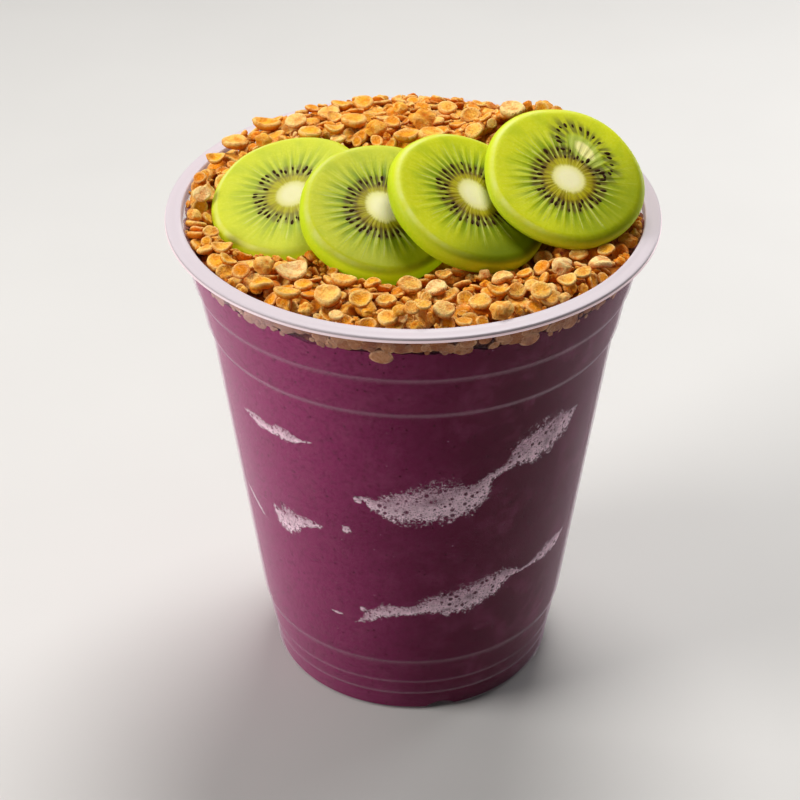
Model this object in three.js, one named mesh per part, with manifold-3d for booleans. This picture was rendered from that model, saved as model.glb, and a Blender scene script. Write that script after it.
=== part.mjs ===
// An acai bowl served in a clear ribbed cup: purple acai filled almost to the rim, a heap of round
// toasted oat flakes over it, and four kiwi slices that lie on the heap like shingles.
// Units are millimetres, +Z is up, and the origin is on the ground under the middle of the cup.
import * as THREE from "three";
import { mergeVertices } from "three/addons/utils/BufferGeometryUtils.js";
import Module from "manifold-3d";

// Cup: a thin moulded tumbler, wider at the mouth, with a flat rolled rim and stepped bands.
const cup = {
  height: 106.5,
  rimRadius: 49,
  mouthRadius: 45.65,
  rimDrop: 1.9, // from the top of the rim to its underside
  rimEdge: 0.45, // the rounding at the rim's outer corners
  wall: 0.7,
  floorTop: 3.2,
  footWidth: 1.5, // the flat ring that the cup stands on
  footEdge: 0.5,
  recess: 2.4, // how far the underside lies above the ground
  notch: { width: 4.6, height: 1.1, depth: 3, bearing: 12 }, // a nick in the foot, right of the front
};

// Each band of the outer wall runs straight from one height and radius to the next, with a small
// step out to the band above it.
const wallBands = {
  foot: { low: 0.5, lowRadius: 30.0, high: 5.0, highRadius: 30.35 },
  lower: { low: 5.3, lowRadius: 30.6, high: 8.3, highRadius: 31.1 },
  middle: { low: 9.0, lowRadius: 31.25, high: 14.5, highRadius: 32.1 },
  main: { low: 15.6, lowRadius: 32.6, high: 83.7, highRadius: 41.3 },
  upper: { low: 84.7, lowRadius: 42.1, high: 92.8, highRadius: 43.45 },
  collar: { low: 93.8, lowRadius: 44.1, high: 103.5, highRadius: 46.0 },
};

const gap = 0.3; // kept between pieces that touch
const turns = 44; // sides round the cup and what fills it
const weld = 1e-4; // points closer than this are one point

// Acai: fills the cup up to the flakes, a little lower in the middle than at the wall.
const acai = { wallTop: 101, middleTop: 99, flatRadius: 30 };

// Granola heap: its bare surface stands at an edge height at the wall and swells towards the middle.
const heap = {
  edgeFront: 104.6,
  edgeRear: 105.4,
  swellFront: -1.2,
  swellRear: 8,
  swellPower: 0.7,
  radius: 45.0,
  blendRadius: 12, // inside it the front and the rear blend into each other
  blend: [0.25, 0.9], // where the change starts and ends, as shares of the way from front to rear
  slope: 0.7, // how steeply it falls away from under the slices
  wallSlope: 1.05, // and the steepest that it climbs from the cup's wall
  beside: 0.8, // how far it may stand above a slice's underside just outside the slice
  besideSlope: 0.9,
  ringStep: 5,
  slopeStep: 0.8, // the reach over which the surface's lean is measured
};

// Flakes that show on the heap: thick round oat discs, laid out on a sunflower spiral.
const flakes = {
  seed: 20,
  count: 205,
  spread: 43.6, // radius of the spiral
  jitter: 1.2,
  sides: 6,
  length: [4.9, 7.6],
  roundness: [0.74, 1],
  thickness: [1.2, 1.9],
  tilt: [0.05, 0.75], // radians away from the heap's own slope
  lift: 0.35, // of the middle of a flake above the bare heap
  sizes: [1, 0.8, 0.62], // tried in turn until the flake touches neither slice nor cup
  clear: 0.5, // from the slices
  cupClear: 0.35,
  rimInset: 1, // above the cup, flakes stay this far inside the rim's outer edge
};

// The form of one flake: heights as shares of its thickness, widths as shares of its outline.
const flakeForm = { edge: 0.3, dish: 0.15, underWidth: 0.85, outline: [0.92, 1.08] };

// Kiwi slices from left to right: the middle of the upper face, the radius and thickness, how far the
// face leans to the right and to the front, and how much longer the outline is towards one bearing.
// Leans and bearings are in degrees.
const slices = [
  { at: [-24.0, -0.8, 109.7], radius: 16.3, thickness: 3.2, lean: [-7.8, 17.4], long: 0.006, bearing: 45 },
  { at: [-5.9, -11.6, 112.7], radius: 16.1, thickness: 4.8, lean: [10.2, 21.4], long: 0.028, bearing: 63 },
  { at: [11.2, -11.2, 114.7], radius: 16.2, thickness: 4.6, lean: [21.5, 18.5], long: 0.009, bearing: -3 },
  { at: [29.5, -6.4, 117.1], radius: 15.9, thickness: 3.9, lean: [11.5, 27.3], long: 0.009, bearing: -6 },
];

// The edge of a slice: distances in from its radius, and down from its upper or up from its lower face.
const sliceEdge = {
  topIn: 1.2,
  topDown: 0.05,
  shoulderIn: 0.35,
  shoulderDown: 0.7,
  heelIn: 0.8,
  heelUp: 0.45,
  footIn: 1.7,
};

// Its upper face dips a little across the flesh and rises at the core.
const sliceFace = { dipAt: 0.62, dip: 0.12, coreAt: 0.22, coreRise: 0.04, middleRise: 0.08 };
const sliceTurns = 32;
const sliceWave = { size: 0.006, lobes: 5 }; // the outline's own slight unevenness

const colours = {
  cup: { color: 0xe9e1ea, roughness: 0.3 },
  acai: { color: 0x6d3353, roughness: 0.5 },
  granola: { color: 0xd08a3e, roughness: 0.75 },
  kiwi: { color: 0xa6cc2c, roughness: 0.35 },
};

const degrees = Math.PI / 180;
const wasm = await Module();
wasm.setup();

function material({ color, roughness }) {
  return new THREE.MeshStandardMaterial({ color, roughness, metalness: 0 });
}

// A closed solid from a lathe profile of [radius, height] pairs, turned round the Z axis.
function turned(profile, sides) {
  const points = profile.map(([radius, height]) => new THREE.Vector2(radius, height));
  return new THREE.LatheGeometry(points, sides).rotateX(Math.PI / 2);
}

function toSolid(geometry) {
  const bare = geometry.clone();
  bare.deleteAttribute("normal");
  bare.deleteAttribute("uv");
  const merged = mergeVertices(bare, weld);
  return new wasm.Manifold(
    new wasm.Mesh({
      numProp: 3,
      vertProperties: merged.attributes.position.array,
      triVerts: new Uint32Array(merged.index.array),
    }),
  );
}

function toGeometry(solid) {
  const { vertProperties, triVerts } = solid.getMesh();
  const geometry = new THREE.BufferGeometry();
  geometry.setAttribute("position", new THREE.BufferAttribute(new Float32Array(vertProperties), 3));
  geometry.setIndex(new THREE.BufferAttribute(new Uint32Array(triVerts), 1));
  return geometry;
}

// Numbers between 0 and 1 that are the same on every run.
function randomFrom(seed) {
  let state = seed >>> 0;
  return () => {
    state = (Math.imul(state, 1664525) + 1013904223) >>> 0;
    return state / 4294967296;
  };
}

// ---- cup ----

function cupProfile() {
  const { height, rimRadius, mouthRadius, rimDrop, rimEdge, wall } = cup;
  const bands = Object.values(wallBands);
  const outer = bands.flatMap((band) => [
    [band.lowRadius, band.low],
    [band.highRadius, band.high],
  ]);
  const inner = innerWall(wall).reverse();
  const footOuter = wallBands.foot.lowRadius - cup.footEdge;
  const footInner = footOuter - cup.footWidth;
  const underRim = height - rimDrop;
  return [
    [0, cup.recess],
    [footInner - cup.footEdge, cup.recess],
    [footInner, 0],
    [footOuter, 0],
    ...outer,
    [wallBands.collar.highRadius + wall, underRim],
    [rimRadius - rimEdge, underRim],
    [rimRadius, underRim + rimEdge],
    [rimRadius, height - rimEdge],
    [rimRadius - rimEdge, height],
    [mouthRadius + rimEdge / 2, height],
    [mouthRadius, height - rimEdge / 2],
    ...inner,
    [wallBands.foot.highRadius - 2 * wall, cup.floorTop],
    [0, cup.floorTop],
  ];
}

// The wide bands, moved in by a distance: the cup's inner wall, and the skin of what fills it.
function innerWall(inset) {
  const { main, upper, collar } = wallBands;
  return [main, upper, collar].flatMap((band) => [
    [band.lowRadius - inset, band.low],
    [band.highRadius - inset, band.high],
  ]);
}

function makeCup() {
  const { width, height, depth, bearing } = cup.notch;
  const nick = new THREE.BoxGeometry(width, depth, 2 * height);
  nick.translate(0, -(wallBands.foot.lowRadius - cup.footWidth / 2), 0);
  nick.rotateZ(bearing * degrees);
  return toGeometry(toSolid(turned(cupProfile(), turns)).subtract(toSolid(nick)));
}

// ---- acai ----

function fillRadiusAt(height) {
  const { low, lowRadius, high, highRadius } = wallBands.collar;
  const share = (height - low) / (high - low);
  return lowRadius + share * (highRadius - lowRadius) - cup.wall - gap;
}

function makeAcai() {
  const { main, upper } = wallBands;
  const skin = innerWall(cup.wall + gap).slice(0, -1);
  const floorRadius = wallBands.foot.highRadius - 2 * cup.wall - gap;
  return turned(
    [
      [0, cup.floorTop + gap],
      [floorRadius, cup.floorTop + gap],
      ...skin,
      [fillRadiusAt(acai.wallTop), acai.wallTop],
      [(acai.flatRadius + upper.highRadius) / 2, (acai.wallTop + acai.middleTop) / 2],
      [acai.flatRadius, acai.middleTop],
      [0, acai.middleTop],
    ],
    turns,
  );
}

// ---- kiwi slices ----

function sliceProfile({ radius, thickness }) {
  return [
    [0, -thickness],
    [radius - sliceEdge.footIn, -thickness],
    [radius - sliceEdge.heelIn, -thickness + sliceEdge.heelUp],
    [radius, -0.5 * thickness],
    [radius - sliceEdge.shoulderIn, -sliceEdge.shoulderDown],
    [radius - sliceEdge.topIn, -sliceEdge.topDown],
    [sliceFace.dipAt * radius, -sliceFace.dip],
    [sliceFace.coreAt * radius, sliceFace.coreRise],
    [0, sliceFace.middleRise],
  ];
}

// A slice in its own frame, with its upper face at height 0; grow makes it larger all round.
function sliceGeometry(slice, grow = 0) {
  const larger = { radius: slice.radius + grow, thickness: slice.thickness + 2 * grow };
  const geometry = turned(sliceProfile(larger), sliceTurns).translate(0, 0, grow);
  const position = geometry.attributes.position;
  for (let i = 0; i < position.count; i++) {
    const angle = Math.atan2(position.getY(i), position.getX(i));
    const stretch = slice.long * Math.cos(2 * (angle - slice.bearing * degrees));
    const wave = sliceWave.size * Math.cos(sliceWave.lobes * angle + slice.bearing);
    const factor = 1 + stretch + wave;
    position.setXY(i, position.getX(i) * factor, position.getY(i) * factor);
  }
  return geometry;
}

function slicePlacement({ at, lean: [right, front] }) {
  const up = new THREE.Vector3(Math.sin(right * degrees), -Math.sin(front * degrees), 0);
  up.z = Math.sqrt(1 - up.x ** 2 - up.y ** 2);
  const turn = new THREE.Quaternion().setFromUnitVectors(new THREE.Vector3(0, 0, 1), up);
  return new THREE.Matrix4().compose(new THREE.Vector3(...at), turn, new THREE.Vector3(1, 1, 1));
}

// ---- granola heap ----

const beds = slices.map((slice) => {
  const placed = slicePlacement(slice);
  const up = new THREE.Vector3().setFromMatrixColumn(placed, 2);
  const under = new THREE.Vector3(...slice.at).addScaledVector(up, -slice.thickness);
  return { slice, up, under, toSlice: placed.clone().invert() };
});

// The underside of a slice, carried on level beyond its outline, and the distance past that outline.
function underside({ slice, up, under }, x, y) {
  const distance = Math.hypot(x - under.x, y - under.y);
  const share = Math.min(1, slice.radius / Math.max(distance, 1e-6));
  const across = (x - under.x) * share * up.x + (y - under.y) * share * up.y;
  return { height: under.z - across / up.z, past: Math.max(0, distance - slice.radius) };
}

// The heap rises to hold each slice up from below, and stays low enough around each not to bury it.
function heapHeight(x, y) {
  const radius = Math.min(Math.hypot(x, y), heap.radius);
  const rear = 0.5 + (0.5 * y) / Math.max(radius, heap.blendRadius);
  const blend = THREE.MathUtils.smoothstep(rear, ...heap.blend);
  const edge = THREE.MathUtils.lerp(heap.edgeFront, heap.edgeRear, blend);
  const swell = THREE.MathUtils.lerp(heap.swellFront, heap.swellRear, blend);
  const bare = edge + swell * (1 - (radius / heap.radius) ** 2) ** heap.swellPower;
  const unders = beds.map((bed) => underside(bed, x, y));
  const held = Math.max(...unders.map(({ height, past }) => height - heap.slope * past));
  const climb = edge + heap.wallSlope * (heap.radius - radius);
  const ceiling = Math.min(
    ...unders.map(({ height, past }) => height + (past > 0 ? heap.beside + heap.besideSlope * past : 0)),
  );
  return Math.min(ceiling, Math.max(bare, Math.min(held, climb)));
}

// A closed skin over rings of equal sides, from a first point on the axis to a last one.
function ringedSkin(first, rings, last) {
  const points = [first, ...rings.flat(), last];
  const faces = [];
  const sides = rings[0].length;
  const vertex = (ring, side) => 1 + ring * sides + (side % sides);
  for (let side = 0; side < sides; side++) {
    faces.push(0, vertex(0, side), vertex(0, side + 1));
    for (let ring = 0; ring + 1 < rings.length; ring++) {
      faces.push(vertex(ring, side), vertex(ring + 1, side), vertex(ring + 1, side + 1));
      faces.push(vertex(ring, side), vertex(ring + 1, side + 1), vertex(ring, side + 1));
    }
    faces.push(points.length - 1, vertex(rings.length - 1, side + 1), vertex(rings.length - 1, side));
  }
  const geometry = new THREE.BufferGeometry();
  geometry.setAttribute("position", new THREE.Float32BufferAttribute(points.flat(), 3));
  return geometry.setIndex(faces);
}

function ringOf(radius, heightAt) {
  return Array.from({ length: turns }, (_, side) => {
    const angle = (side * 2 * Math.PI) / turns + Math.PI / 2;
    const x = radius * Math.cos(angle);
    const y = radius * Math.sin(angle);
    return [x, y, heightAt(x, y)];
  });
}

function heapCore() {
  const rings = [];
  for (let radius = heap.ringStep; radius <= heap.radius; radius += heap.ringStep) {
    rings.push(ringOf(radius, heapHeight));
  }
  rings.push(ringOf(fillRadiusAt(acai.wallTop + gap), () => acai.wallTop + gap));
  rings.push(ringOf(acai.flatRadius - gap, () => acai.middleTop + 2 * gap));
  return ringedSkin([0, 0, heapHeight(0, 0)], rings, [0, 0, acai.middleTop + 2 * gap]);
}

// One flake: a short round disc whose upper face is cupped and whose edge is a little uneven.
function flakeGeometry(length, width, thickness, random) {
  const ring = (scale, height) =>
    Array.from({ length: flakes.sides }, (_, side) => {
      const angle = (side * 2 * Math.PI) / flakes.sides;
      const wobble = scale * THREE.MathUtils.lerp(...flakeForm.outline, random());
      return [0.5 * length * wobble * Math.cos(angle), 0.5 * width * wobble * Math.sin(angle), height];
    });
  const edge = ring(1, flakeForm.edge * thickness);
  const under = ring(flakeForm.underWidth, -0.5 * thickness);
  return ringedSkin([0, 0, flakeForm.dish * thickness], [edge, under], [0, 0, -0.5 * thickness]);
}

function heapSlope(x, y) {
  const step = heap.slopeStep;
  const alongX = (heapHeight(x + step, y) - heapHeight(x - step, y)) / (2 * step);
  const alongY = (heapHeight(x, y + step) - heapHeight(x, y - step)) / (2 * step);
  return new THREE.Vector3(-alongX, -alongY, 1).normalize();
}

function insideASlice(point) {
  return beds.some(({ slice, toSlice }) => {
    const local = point.clone().applyMatrix4(toSlice);
    const within = Math.hypot(local.x, local.y) < slice.radius * (1 + slice.long) + flakes.clear;
    return within && local.z < flakes.clear && local.z > -slice.thickness - flakes.clear;
  });
}

function touchesCup(point) {
  const radius = Math.hypot(point.x, point.y);
  const aboveRim = point.z > cup.height + flakes.cupClear;
  return radius > (aboveRim ? cup.rimRadius - flakes.rimInset : cup.mouthRadius - cup.wall);
}

function isFree(geometry) {
  const position = geometry.attributes.position;
  const point = new THREE.Vector3();
  for (let i = 0; i < position.count; i++) {
    point.fromBufferAttribute(position, i);
    if (insideASlice(point) || touchesCup(point)) return false;
  }
  return true;
}

function makeFlakes() {
  const random = randomFrom(flakes.seed);
  const between = ([low, high]) => low + (high - low) * random();
  const golden = Math.PI * (3 - Math.sqrt(5));
  const solids = [];
  for (let i = 0; i < flakes.count; i++) {
    const radius = flakes.spread * Math.sqrt((i + 0.5) / flakes.count);
    const x = radius * Math.cos(i * golden) + flakes.jitter * (random() - 0.5);
    const y = radius * Math.sin(i * golden) + flakes.jitter * (random() - 0.5);
    const length = between(flakes.length);
    const width = length * between(flakes.roundness);
    const thickness = between(flakes.thickness);
    const spin = 2 * Math.PI * random();
    const tilt = between(flakes.tilt);
    const shape = flakeGeometry(length, width, thickness, random);
    const axis = new THREE.Vector3(Math.cos(spin), Math.sin(spin), 0);
    const turn = new THREE.Quaternion().setFromUnitVectors(new THREE.Vector3(0, 0, 1), heapSlope(x, y));
    turn.multiply(new THREE.Quaternion().setFromAxisAngle(axis, tilt));
    const at = new THREE.Vector3(x, y, heapHeight(x, y) + flakes.lift);
    for (const size of flakes.sizes) {
      const placed = new THREE.Matrix4().compose(at, turn, new THREE.Vector3(size, size, size));
      const flake = shape.clone().applyMatrix4(placed);
      if (isFree(flake)) {
        solids.push(toSolid(flake));
        break;
      }
    }
  }
  return solids;
}

// Keeps the one shell that holds most vertices: small sealed hollows are filled, and loose scraps go.
function largestShell(geometry) {
  const position = geometry.attributes.position;
  const index = geometry.index.array;
  const parent = Int32Array.from({ length: position.count }, (_, i) => i);
  const find = (i) => {
    while (parent[i] !== i) {
      parent[i] = parent[parent[i]];
      i = parent[i];
    }
    return i;
  };
  for (let i = 0; i < index.length; i += 3) {
    parent[find(index[i])] = find(index[i + 1]);
    parent[find(index[i + 1])] = find(index[i + 2]);
  }
  const sizes = new Map();
  for (let i = 0; i < position.count; i++) sizes.set(find(i), (sizes.get(find(i)) ?? 0) + 1);
  const largest = [...sizes].reduce((a, b) => (b[1] > a[1] ? b : a))[0];
  const kept = [];
  for (let i = 0; i < index.length; i += 3) {
    if (find(index[i]) === largest) kept.push(index[i], index[i + 1], index[i + 2]);
  }
  return geometry.setIndex(kept);
}

function makeGranola() {
  let heaped = toSolid(heapCore());
  for (const flake of makeFlakes()) heaped = heaped.add(flake);
  for (const slice of slices) {
    const room = sliceGeometry(slice, gap).applyMatrix4(slicePlacement(slice));
    heaped = heaped.subtract(toSolid(room));
  }
  return largestShell(toGeometry(heaped));
}

// ---- the whole ----

const bowl = new THREE.Group();

function addPiece(name, geometry, look, placement) {
  const mesh = new THREE.Mesh(geometry, material(look));
  mesh.name = name;
  if (placement) placement.decompose(mesh.position, mesh.quaternion, mesh.scale);
  bowl.add(mesh);
}

addPiece("cup", makeCup(), colours.cup);
addPiece("acai", makeAcai(), colours.acai);
addPiece("granola", makeGranola(), colours.granola);
slices.forEach((slice, i) => {
  addPiece(`kiwi_slice_${i + 1}`, sliceGeometry(slice), colours.kiwi, slicePlacement(slice));
});

export default bowl;
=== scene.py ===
# An acai bowl in a clear ribbed cup: purple acai behind the wall, toasted oat flakes heaped over it and
# four kiwi slices laid on the heap. Lengths in the dictionaries are millimetres, angles are degrees.
import math
import random

import bpy
import numpy as np
from mathutils import Matrix, Quaternion, Vector, noise


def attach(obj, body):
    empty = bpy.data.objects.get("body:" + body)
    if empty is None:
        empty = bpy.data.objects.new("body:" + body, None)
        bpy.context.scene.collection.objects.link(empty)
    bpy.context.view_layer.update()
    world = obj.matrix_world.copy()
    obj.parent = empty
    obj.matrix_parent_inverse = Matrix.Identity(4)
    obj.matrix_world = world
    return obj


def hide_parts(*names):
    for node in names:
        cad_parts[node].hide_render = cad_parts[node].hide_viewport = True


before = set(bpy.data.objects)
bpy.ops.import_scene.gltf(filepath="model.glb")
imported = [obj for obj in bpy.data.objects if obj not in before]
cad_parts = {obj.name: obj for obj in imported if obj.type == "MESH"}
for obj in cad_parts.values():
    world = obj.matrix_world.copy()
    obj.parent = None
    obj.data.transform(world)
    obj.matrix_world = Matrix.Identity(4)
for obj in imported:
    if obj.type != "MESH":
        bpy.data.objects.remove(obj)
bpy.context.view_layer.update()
mm = 0.001
weld = 0.004  # points closer than this are one point
print("frame loaded, nodes:", len(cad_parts))


def deselectAll():
    if bpy.context.mode != "OBJECT":
        bpy.ops.object.mode_set(mode="OBJECT")
    bpy.ops.object.select_all(action="DESELECT")


def pick(*objects):
    deselectAll()
    for thing in objects:
        thing.select_set(True)
    bpy.context.view_layer.objects.active = objects[0]


def added(name):
    thing = bpy.context.object
    thing.name = name
    thing.data.name = name
    return thing


def editAll(thing):
    pick(thing)
    bpy.ops.object.mode_set(mode="EDIT")
    bpy.ops.mesh.select_all(action="SELECT")


def leaveEdit():
    bpy.ops.object.mode_set(mode="OBJECT")


def thicken(thing, thickness):
    # gives an open sheet a second face on its inner side
    pick(thing)
    modifier = thing.modifiers.new("Thickness", "SOLIDIFY")
    modifier.thickness = thickness * mm
    modifier.offset = -1
    bpy.ops.object.modifier_apply(modifier=modifier.name)


def spun(name, profile, sides):
    # a profile of [radius, height] pairs, extruded point by point and spun round the upright axis
    deselectAll()
    bpy.ops.mesh.primitive_plane_add(size=mm)
    thing = added(name)
    editAll(thing)
    bpy.ops.mesh.merge(type="CENTER")
    bpy.ops.transform.translate(value=(profile[0][0] * mm, 0, profile[0][1] * mm))
    for (radius, height), (nextRadius, nextHeight) in zip(profile, profile[1:]):
        step = ((nextRadius - radius) * mm, 0, (nextHeight - height) * mm)
        bpy.ops.mesh.extrude_region_move(TRANSFORM_OT_translate={"value": step})
    bpy.ops.mesh.select_all(action="SELECT")
    bpy.ops.mesh.spin(steps=sides, angle=2 * math.pi, center=(0, 0, 0), axis=(0, 0, 1))
    bpy.ops.mesh.select_all(action="SELECT")
    bpy.ops.mesh.remove_doubles(threshold=weld * mm)
    bpy.ops.mesh.normals_make_consistent(inside=False)
    leaveEdit()
    return thing


def rounded(points, cut):
    # softens each inner corner of a profile with a short curve
    most = 0.42  # share of a straight stretch that one curve may take up
    soft = [points[0]]
    for before, corner, after in zip(points, points[1:], points[2:]):
        into = math.dist(before, corner)
        out = math.dist(corner, after)
        reach = min(cut, most * into, most * out)
        start = [c + (b - c) * reach / into for b, c in zip(before, corner)]
        end = [c + (a - c) * reach / out for a, c in zip(after, corner)]
        middle = [0.25 * s + 0.5 * c + 0.25 * e for s, c, e in zip(start, corner, end)]
        soft += [start, middle, end]
    return soft + [points[-1]]


def pointsOf(thing):
    # the mesh's points in mm, one row each
    flat = np.empty(3 * len(thing.data.vertices), np.float32)
    thing.data.vertices.foreach_get("co", flat)
    return flat.reshape(-1, 3).astype(float) / mm


def movePoints(thing, places):
    thing.data.vertices.foreach_set("co", (places * mm).astype(np.float32).ravel())
    thing.data.update()


def addLayer(thing, name, values, kind="FLOAT"):
    # a named value, or vector, for each point of a mesh
    layer = thing.data.attributes.new(name, kind, "POINT")
    field = "value" if kind == "FLOAT" else "vector"
    layer.data.foreach_set(field, np.asarray(values, np.float32).ravel())


def softNoise(places, size, seed):
    # smooth noise from about -1 to 1 at each place, with waves of the given size in mm
    shift = Vector((seed * 17.3, seed * 5.1, seed * 9.7))
    return np.array([noise.noise(Vector(place) / size + shift) for place in places])


def smoothShade(thing, angle=60):
    pick(thing)
    bpy.ops.object.shade_smooth_by_angle(angle=math.radians(angle))


def settle(thing, look, slot, *nodes):
    # gives a finished piece its material and its place in the frame
    thing.data.materials.clear()
    thing.data.materials.append(look)
    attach(thing, "root")
    if nodes:
        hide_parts(*nodes)


def inMetres(place):
    # a place in mm as the one that moves a mesh, whose points are in metres
    return Matrix.Scale(mm, 4) @ place @ Matrix.Scale(1 / mm, 4)


def copyOf(master, place, tint):
    # its own mesh, with the place given in mm and one value for its shade
    copy = master.copy()
    copy.data = master.data.copy()
    bpy.context.collection.objects.link(copy)
    copy.data.transform(inMetres(place))
    addLayer(copy, "tint", [tint] * len(copy.data.vertices))
    return copy


def joined(name, things):
    pick(*things)
    bpy.ops.object.join()
    return added(name)


class Wire:
    # a node's output that can be added, scaled and compared like a number
    def __init__(self, paint, socket):
        self.paint = paint
        self.socket = socket

    def maths(self, operation, *values):
        return self.paint.maths(operation, *values)

    def __add__(self, other):
        return self.maths("ADD", self, other)

    __radd__ = __add__

    def __sub__(self, other):
        return self.maths("SUBTRACT", self, other)

    def __rsub__(self, other):
        return self.maths("SUBTRACT", other, self)

    def __mul__(self, other):
        return self.maths("MULTIPLY", self, other)

    __rmul__ = __mul__

    def __truediv__(self, other):
        return self.maths("DIVIDE", self, other)

    def __pow__(self, other):
        return self.maths("POWER", self, other)

    def __gt__(self, other):
        return self.maths("GREATER_THAN", self, other)

    def __lt__(self, other):
        return self.maths("LESS_THAN", self, other)


class Paint:
    # a material whose nodes are added one call at a time
    def __init__(self, name, **fixed):
        self.material = bpy.data.materials.new(name)
        self.material.use_nodes = True
        self.tree = self.material.node_tree
        self.shader = self.tree.nodes["Principled BSDF"]
        for socket, value in fixed.items():
            self.shader.inputs[socket.replace("_", " ")].default_value = value

    def add(self, kind, settings=None, inputs=None, output=0):
        node = self.tree.nodes.new("ShaderNode" + kind)
        for key, value in (settings or {}).items():
            if key == "stops":
                self.setStops(node.color_ramp, value)
            else:
                setattr(node, key, value)
        for key, value in (inputs or {}).items():
            self.feed(node.inputs[key], value)
        return Wire(self, node.outputs[output])

    def maths(self, operation, *values):
        return self.add("Math", {"operation": operation}, dict(enumerate(values)))

    def setStops(self, ramp, stops):
        while len(ramp.elements) < len(stops):
            ramp.elements.new(0.5)
        for element, (position, colour) in zip(ramp.elements, stops):
            element.position = position
            element.color = colour

    def feed(self, socket, value):
        if isinstance(value, Wire):
            self.tree.links.new(value.socket, socket)
        else:
            socket.default_value = value

    def place(self):
        return self.add("TexCoord", output="Object")

    def layer(self, name, output="Fac"):
        return self.add("Attribute", {"attribute_name": name}, output=output)

    def parts(self, vector):
        node = self.add("SeparateXYZ", inputs={0: vector}).socket.node
        return [Wire(self, socket) for socket in node.outputs]

    def join(self, x, y, z):
        return self.add("CombineXYZ", inputs={0: x, 1: y, 2: z})

    def grain(self, vector, scale, detail, roughness):
        # noise whose scale is counted in the vector's own unit
        values = {"Scale": scale, "Detail": detail, "Roughness": roughness}
        return self.add("TexNoise", inputs={"Vector": vector, **values})

    def noise(self, vector, size, detail=3.0, roughness=0.55):
        # size is the width of one blotch in mm
        return self.grain(vector, 1 / (size * mm), detail, roughness)

    def cells(self, vector, size, output="Distance"):
        # size is the width of one cell in mm
        return self.add("TexVoronoi", inputs={"Vector": vector, "Scale": 1 / (size * mm)}, output=output)

    def span(self, value, low, high):
        # 0 at the low value and 1 at the high one, smooth between them and held beyond
        return self.add("MapRange", {"interpolation_type": "SMOOTHSTEP"}, {0: value, 1: low, 2: high})

    def blend(self, share, first, second):
        return self.add("Mix", {"data_type": "RGBA"}, {0: share, 6: first, 7: second}, 2)

    def ramp(self, value, stops):
        return self.add("ValToRGB", {"stops": stops}, {0: value})

    def bump(self, height, depth):
        # depth is the height of a full step in mm
        values = {"Height": height, "Distance": depth * mm}
        self.feed(self.shader.inputs["Normal"], self.add("Bump", inputs=values))

    def set(self, socket, value):
        self.feed(self.shader.inputs[socket], value)


def colour(red, green, blue, strength=1.0):
    # an ordinary 0 to 255 screen colour as the linear one that shaders use
    def linear(level):
        share = level / 255
        return share / 12.92 if share <= 0.04045 else ((share + 0.055) / 1.055) ** 2.4

    return tuple(linear(level) * strength for level in (red, green, blue)) + (1.0,)


# the camera, which also places what is seen through it
view = {
    "place": (-2.6, -369.7, 311.3),
    "down": 34.22,  # how far the camera looks down
    "lens": 95.86,
    "sensor": 36,
    "dots": 800,  # the render is this many dots wide and high
    "near": 300,  # the whole object lies between these distances
    "far": 620,
}


def sightLine(across, down):
    # the direction from the camera through a dot of the render, counted from its top left corner
    focal = view["lens"] / view["sensor"] * view["dots"]
    right = (across - view["dots"] / 2) / focal
    up = (view["dots"] / 2 - down) / focal
    tilt = math.radians(view["down"])
    return Vector((right, math.cos(tilt) + up * math.sin(tilt), up * math.cos(tilt) - math.sin(tilt)))


def firstHit(dot, isInside):
    # where the sight line through a dot first comes inside something, in mm
    eye = Vector(view["place"])
    line = sightLine(*dot).normalized()
    reach = view["near"]
    step = 0.5
    while reach < view["far"] and not isInside(eye + line * reach):
        reach += step
    for _ in range(8):
        step *= 0.5
        reach += -step if isInside(eye + line * reach) else step
    return eye + line * reach


cup = {
    "sides": 192,
    "wall": 0.5,
    "recess": 2.4,  # how far the underside lies above the ground
    "footInner": 28.0,  # the flat ring that the cup stands on
    "footOuter": 29.5,
    "bands": [  # radius and height where each band of the wall starts and ends
        (30.0, 0.5), (30.35, 5.0), (30.6, 5.3), (31.1, 8.3), (31.25, 9.0), (32.1, 14.5),
        (32.6, 15.6), (41.3, 83.7), (42.1, 84.7), (43.45, 92.8), (44.1, 93.8), (46.0, 103.5),
    ],
    "rim": [
        (46.35, 104.9), (46.9, 105.4), (47.9, 105.42), (48.2, 105.3), (48.5, 105.2), (48.84, 105.24),
        (49.0, 105.42), (48.98, 105.58), (48.84, 105.72), (48.72, 105.8), (48.72, 105.92), (48.8, 106.02),
        (48.78, 106.16), (48.6, 106.28), (47.9, 106.36), (46.9, 106.36), (46.3, 106.48), (45.85, 106.5),
        (45.66, 106.3),
    ],
    "corner": 0.45,  # how far each ledge is rounded
    "ledges": (5.35, 9.05, 15.7, 84.8, 93.9),  # heights at which the wall steps out
    "nick": {  # a nick in the foot, right of the front
        "width": 4.6,
        "height": 1.1,
        "bearing": 12,
        "fade": 2.4,  # the foot keeps its form from this height up
    },
}


def cupSkin(inset):
    # the cup's wall from the middle of the base to the collar, moved in by a distance
    skin = [
        (0, cup["recess"] + inset),
        (cup["footInner"] - 0.5 + inset, cup["recess"] + inset),
        (cup["footInner"] + inset, inset),
        (cup["footOuter"] - 0.6 * inset, inset),
    ]
    for radius, height in cup["bands"]:
        lift = 0.3 * inset if height < 1 else 0
        skin.append((radius - inset, height + lift))
    return skin


def wallRadius(height):
    radii = [radius for radius, _ in cup["bands"]]
    heights = [level for _, level in cup["bands"]]
    return float(np.interp(height, heights, radii))


def onWall(dot):
    # the angle round the cup and the height where a dot of the render shows the wall
    top = 104
    spot = firstHit(dot, lambda place: place.z < top and math.hypot(place.x, place.y) < wallRadius(place.z))
    return math.atan2(spot.y, spot.x), spot.z


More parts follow.
